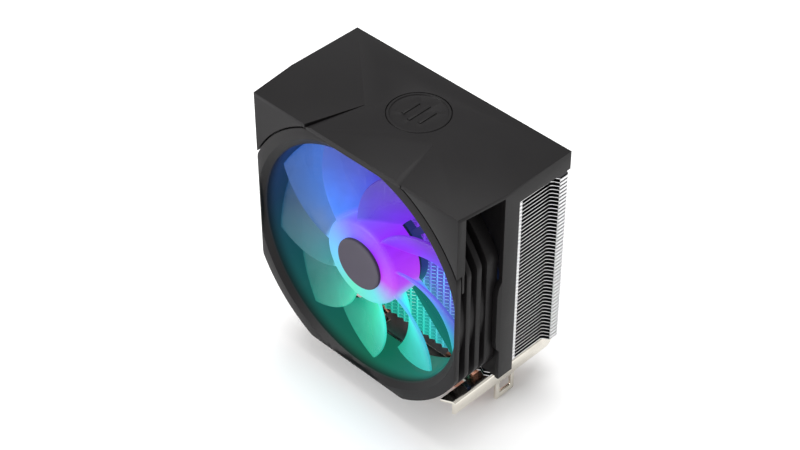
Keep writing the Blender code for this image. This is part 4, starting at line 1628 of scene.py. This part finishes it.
    def side_view(self, low: Vector, high: Vector) -> list[Pair]:
        """The flange and its hook, seen from the side.

        Args:
            low: the bracket's low corner.
            high: its high corner.

        Returns:
            The outline's points, as (y, z).
        """
        drop = high.z - self.flange_height
        half = self.hook_half
        corner = 1.0 * MM
        big = self.flange_corner
        return [
            (low.y - 2 * MM, drop),
            (-half - 0.6 * MM, drop),
            (-half, drop - 0.6 * MM),
            *arc(corner, 180, 270, 5, (-half + corner, low.z + corner)),
            *arc(corner, 270, 360, 5, (half - corner, low.z + corner)),
            (half, drop - 0.6 * MM),
            (half + 0.6 * MM, drop),
            *arc(big, 270, 360, 10, (high.y - big, drop + big)),
            (high.y, high.z + MM),
            (low.y - 2 * MM, high.z + MM),
        ]

    def plan_view(
        self, side: int, low: Vector, high: Vector, inner: float, outer: float
    ) -> bpy.types.Object:
        """What lies behind the bar's slanted front end.

        Args:
            side: -1 for the left bracket and 1 for the right one.
            low: the bracket's low corner.
            high: its high corner.
            inner: how far the bar's inner edge lies from the middle.
            outer: how far its outer edge lies from the middle.

        Returns:
            The block that the bracket is kept within.
        """
        slope = self.slant / (outer - inner)
        reach = 3.0 * MM
        outline = [
            (side * (inner - reach), low.y - slope * reach),
            (side * (outer + reach), low.y + self.slant + slope * reach),
            (side * (outer + reach), high.y + reach),
            (side * (inner - reach), high.y + reach),
        ]
        return Bench.sheet("plan", outline, low.z - MM, high.z + MM)

    def screw(self, number: int) -> bpy.types.Object:
        """A pan-head machine screw with a hexagon socket.

        Args:
            number: which screw.

        Returns:
            The new object, in place.
        """
        low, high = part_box(f"bracket_screw_{number}")
        middle = (low + high) / 2
        radius = (high.x - low.x) / 2
        head = 1.6 * MM
        shank = 1.25 * MM
        height = high.z - low.z
        profile = [
            (0.0, 0.0),
            (shank - 0.3 * MM, 0.0),
            (shank, 0.4 * MM),
            (shank, height - head),
            (radius, height - head),
            (radius, height - 0.5 * MM),
            (radius - 0.5 * MM, height),
            (0.0, height),
        ]
        screw = Bench.lathe(f"arm_screw_{number}", profile, (middle.x, middle.y, low.z), 36, upright=True)
        start = (middle.x, middle.y, high.z - 0.8 * MM)
        end = (middle.x, middle.y, high.z + MM)
        Bench.work(screw, Work.CUT, Bench.rod("socket", 1.0 * MM, start, end, 6))
        Bench.smooth(screw)
        return screw

    def build(self, finishes: dict[str, bpy.types.Material]) -> None:
        """Make every piece of the tower but its fins.

        Args:
            finishes: the materials, by what they cover.
        """
        for number in range(1, 5):
            name = f"heat_pipe_{number}"
            hand_over(self.pipe(number), Body.TOWER, finishes["copper"], [name])
            name = f"bracket_screw_{number}"
            hand_over(self.screw(number), Body.TOWER, finishes["steel"], [name])
        hand_over(self.base(), Body.TOWER, finishes["milled"], ["base_block"])
        for side, label in ((-1, "left"), (1, "right")):
            bar = self.bracket(side, label)
            hand_over(bar, Body.TOWER, finishes["nickel"], [f"bracket_{label}"])


# ------------------------------------------------------------------ studio
@dataclass
class Studio:
    """A pale floor, soft lights and the camera."""

    camera_place: Triple = (0.4641, -0.4864, 0.6478)
    camera_aim: Triple = (-0.5335, 0.5397, -0.6512)
    lens: float = 89.84
    floor_size: float = 12.0

    def camera(self) -> None:
        """Set the camera, with no depth of field."""
        data = bpy.data.cameras.new("camera")
        data.lens = self.lens
        data.sensor_width = 36.0
        data.clip_start = 0.01
        obj = bpy.data.objects.new("camera", data)
        bpy.context.scene.collection.objects.link(obj)
        obj.location = self.camera_place
        obj.rotation_euler = Vector(self.camera_aim).to_track_quat("-Z", "Y").to_euler()
        bpy.context.scene.camera = obj

    def floor(self) -> None:
        """A pale matt floor."""
        Bench.clear()
        bpy.ops.mesh.primitive_plane_add(size=self.floor_size, location=(0.0, 0.0, -0.02 * MM))
        floor = Bench.named("floor")
        recipe = Recipe("pale_floor")
        cloud = recipe.noise(0.5)
        recipe.set("Base Color", recipe.mix(cloud, solid((0.93, 0.93, 0.93)), solid((0.95, 0.95, 0.95))))
        recipe.set("Roughness", 0.9)
        floor.data.materials.append(recipe.material)

    def light(self, name: str, place: Triple, target: Triple, size: float, power: float) -> None:
        """One soft square light aimed at a point.

        Args:
            name: the light's name.
            place: where it stands.
            target: what it points at.
            size: the length of its side.
            power: its power in watts.
        """
        data = bpy.data.lights.new(name, "AREA")
        data.shape = "SQUARE"
        data.size = size
        data.energy = power
        obj = bpy.data.objects.new(name, data)
        bpy.context.scene.collection.objects.link(obj)
        obj.location = place
        aim = Vector(target) - Vector(place)
        obj.rotation_euler = aim.to_track_quat("-Z", "Y").to_euler()

    def world(self) -> None:
        """An even white surround."""
        world = bpy.data.worlds.new("surround")
        world.use_nodes = True
        background = world.node_tree.nodes["Background"]
        background.inputs["Color"].default_value = (1.0, 1.0, 1.0, 1.0)
        background.inputs["Strength"].default_value = 0.62
        bpy.context.scene.world = world

    def build(self) -> None:
        """Set everything up."""
        self.camera()
        self.floor()
        self.world()
        aim = (0.0, 0.0, 0.07)
        self.light("key", (-0.5, -1.45, 0.6), aim, 0.8, 23.0)
        self.light("top", (-0.15, 0.3, 1.6), aim, 1.2, 21.0)
        bpy.context.scene.view_settings.view_transform = "Standard"


# ------------------------------------------------------------------ everything together
BLADE_GLOW = (
    (0.00, (0.013, 0.10, 0.24)),
    (0.12, (0.02, 0.30, 0.26)),
    (0.25, (0.04, 0.80, 0.48)),
    (0.37, (0.07, 1.0, 0.95)),
    (0.47, (0.10, 0.22, 1.0)),
    (0.60, (0.25, 0.02, 0.95)),
    (0.74, (0.09, 0.04, 0.62)),
    (0.87, (0.05, 0.22, 0.95)),
    (1.00, (0.013, 0.10, 0.24)),
)
HUB_GLOW = (
    (0.00, (0.13, 0.50, 1.0)),
    (0.20, (0.10, 0.75, 0.50)),
    (0.34, (0.12, 0.70, 0.75)),
    (0.48, (0.50, 0.04, 0.85)),
    (0.65, (0.30, 0.02, 0.95)),
    (0.80, (0.18, 0.12, 1.0)),
    (1.00, (0.13, 0.50, 1.0)),
)
DUCT_GLOW = (
    (0.00, (0.008, 0.035, 0.085)),
    (0.12, (0.006, 0.085, 0.085)),
    (0.25, (0.004, 0.130, 0.075)),
    (0.38, (0.006, 0.160, 0.130)),
    (0.50, (0.020, 0.040, 0.200)),
    (0.75, (0.015, 0.012, 0.100)),
    (0.88, (0.008, 0.025, 0.120)),
    (1.00, (0.008, 0.035, 0.085)),
)
FIN_GLOW = (
    (0.00, (0.010, 0.08, 0.18)),
    (0.20, (0.020, 0.35, 0.25)),
    (0.31, (0.030, 0.60, 0.50)),
    (0.41, (0.140, 0.17, 0.75)),
    (0.50, (0.150, 0.10, 0.75)),
    (0.62, (0.200, 0.03, 0.70)),
    (0.85, (0.040, 0.15, 0.70)),
    (1.00, (0.010, 0.08, 0.18)),
)


def dress_hidden(layout: Layout) -> None:
    """Give the motor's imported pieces, which stay as they are, their finishes.

    Args:
        layout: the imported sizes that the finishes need.
    """
    steel = PlatedMetal("lamination_steel", "steel", (0.42, 0.42, 0.44), 0.35).make()
    bronze = PlatedMetal("sintered_bronze", "bronze", (0.50, 0.33, 0.16), 0.45).make()
    wire = PlatedMetal("enamelled_wire", "winding", (0.60, 0.25, 0.10), 0.3, (30.0, 1.0, 30.0)).make()
    magnet = MouldedPlastic("bonded_magnet", "magnet", (0.09, 0.09, 0.09), 0.7).make()
    board = CircuitBoard("solder_mask", "board_green", tuple(layout.fan_centre)).make()
    lens = MouldedPlastic("lamp_lens", "lamp_white", (0.6, 0.6, 0.58), 0.25).make()
    chosen = {
        "stator_core": steel,
        "motor_yoke": steel,
        "shaft": steel,
        "retaining_ring": steel,
        "bearing_sleeve": bronze,
        "magnet_ring": magnet,
        "circuit_board": board,
        **{f"coil_{number}": wire for number in range(1, 5)},
        **{f"lamp_{number}": lens for number in range(1, 7)},
    }
    for node, finish in chosen.items():
        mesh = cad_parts[node].data
        mesh.materials.clear()
        mesh.materials.append(finish)


def main() -> None:
    """Build the cooler's looks, piece by piece."""
    logging.basicConfig(level=logging.INFO, format="%(name)s: %(message)s")
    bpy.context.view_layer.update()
    layout = Layout.read()
    Studio().build()
    plastic = MouldedPlastic("satin_black_plastic", "black_plastic").make()
    duct = DuctPlastic(
        "fan_duct_plastic", "black_plastic", centre=tuple(layout.fan_centre), stops=DUCT_GLOW
    ).make()
    matt = MouldedPlastic("matt_cap_plastic", "cap_plastic", (0.05, 0.045, 0.06), 0.6).make()
    lit = LitPlastic(
        "lit_frosted_plastic",
        "frosted_plastic",
        tuple(layout.fan_centre),
        hub_radius=21.0 * MM,
        tip_radius=57.0 * MM,
        blade_stops=BLADE_GLOW,
        hub_stops=HUB_GLOW,
    ).make()
    finishes = {
        "copper": PlatedMetal("copper_tube", "copper", (0.83, 0.42, 0.30), 0.18).make(),
        "nickel": PlatedMetal("nickel_plate", "nickel", (0.80, 0.76, 0.68), 0.14).make(),
        "steel": PlatedMetal("zinc_steel", "steel", (0.55, 0.55, 0.56), 0.3).make(),
        "milled": PlatedMetal("milled_aluminium", "aluminium", (0.80, 0.80, 0.81), 0.28).make(),
        "fins": FinMetal(
            "rolled_aluminium",
            "aluminium",
            tuple(layout.fins_low),
            layout.fan_centre.z,
            FinMaker.pitch,
            FinMaker.thickness,
            FIN_GLOW,
        ).make(),
    }
    ShroudMaker(layout).build(plastic)
    FanMaker(layout).build(duct, lit, matt)
    FinMaker(layout).build(finishes["fins"])
    TowerMaker(layout).build(finishes)
    dress_hidden(layout)


if __name__ == "__main__":
    main()
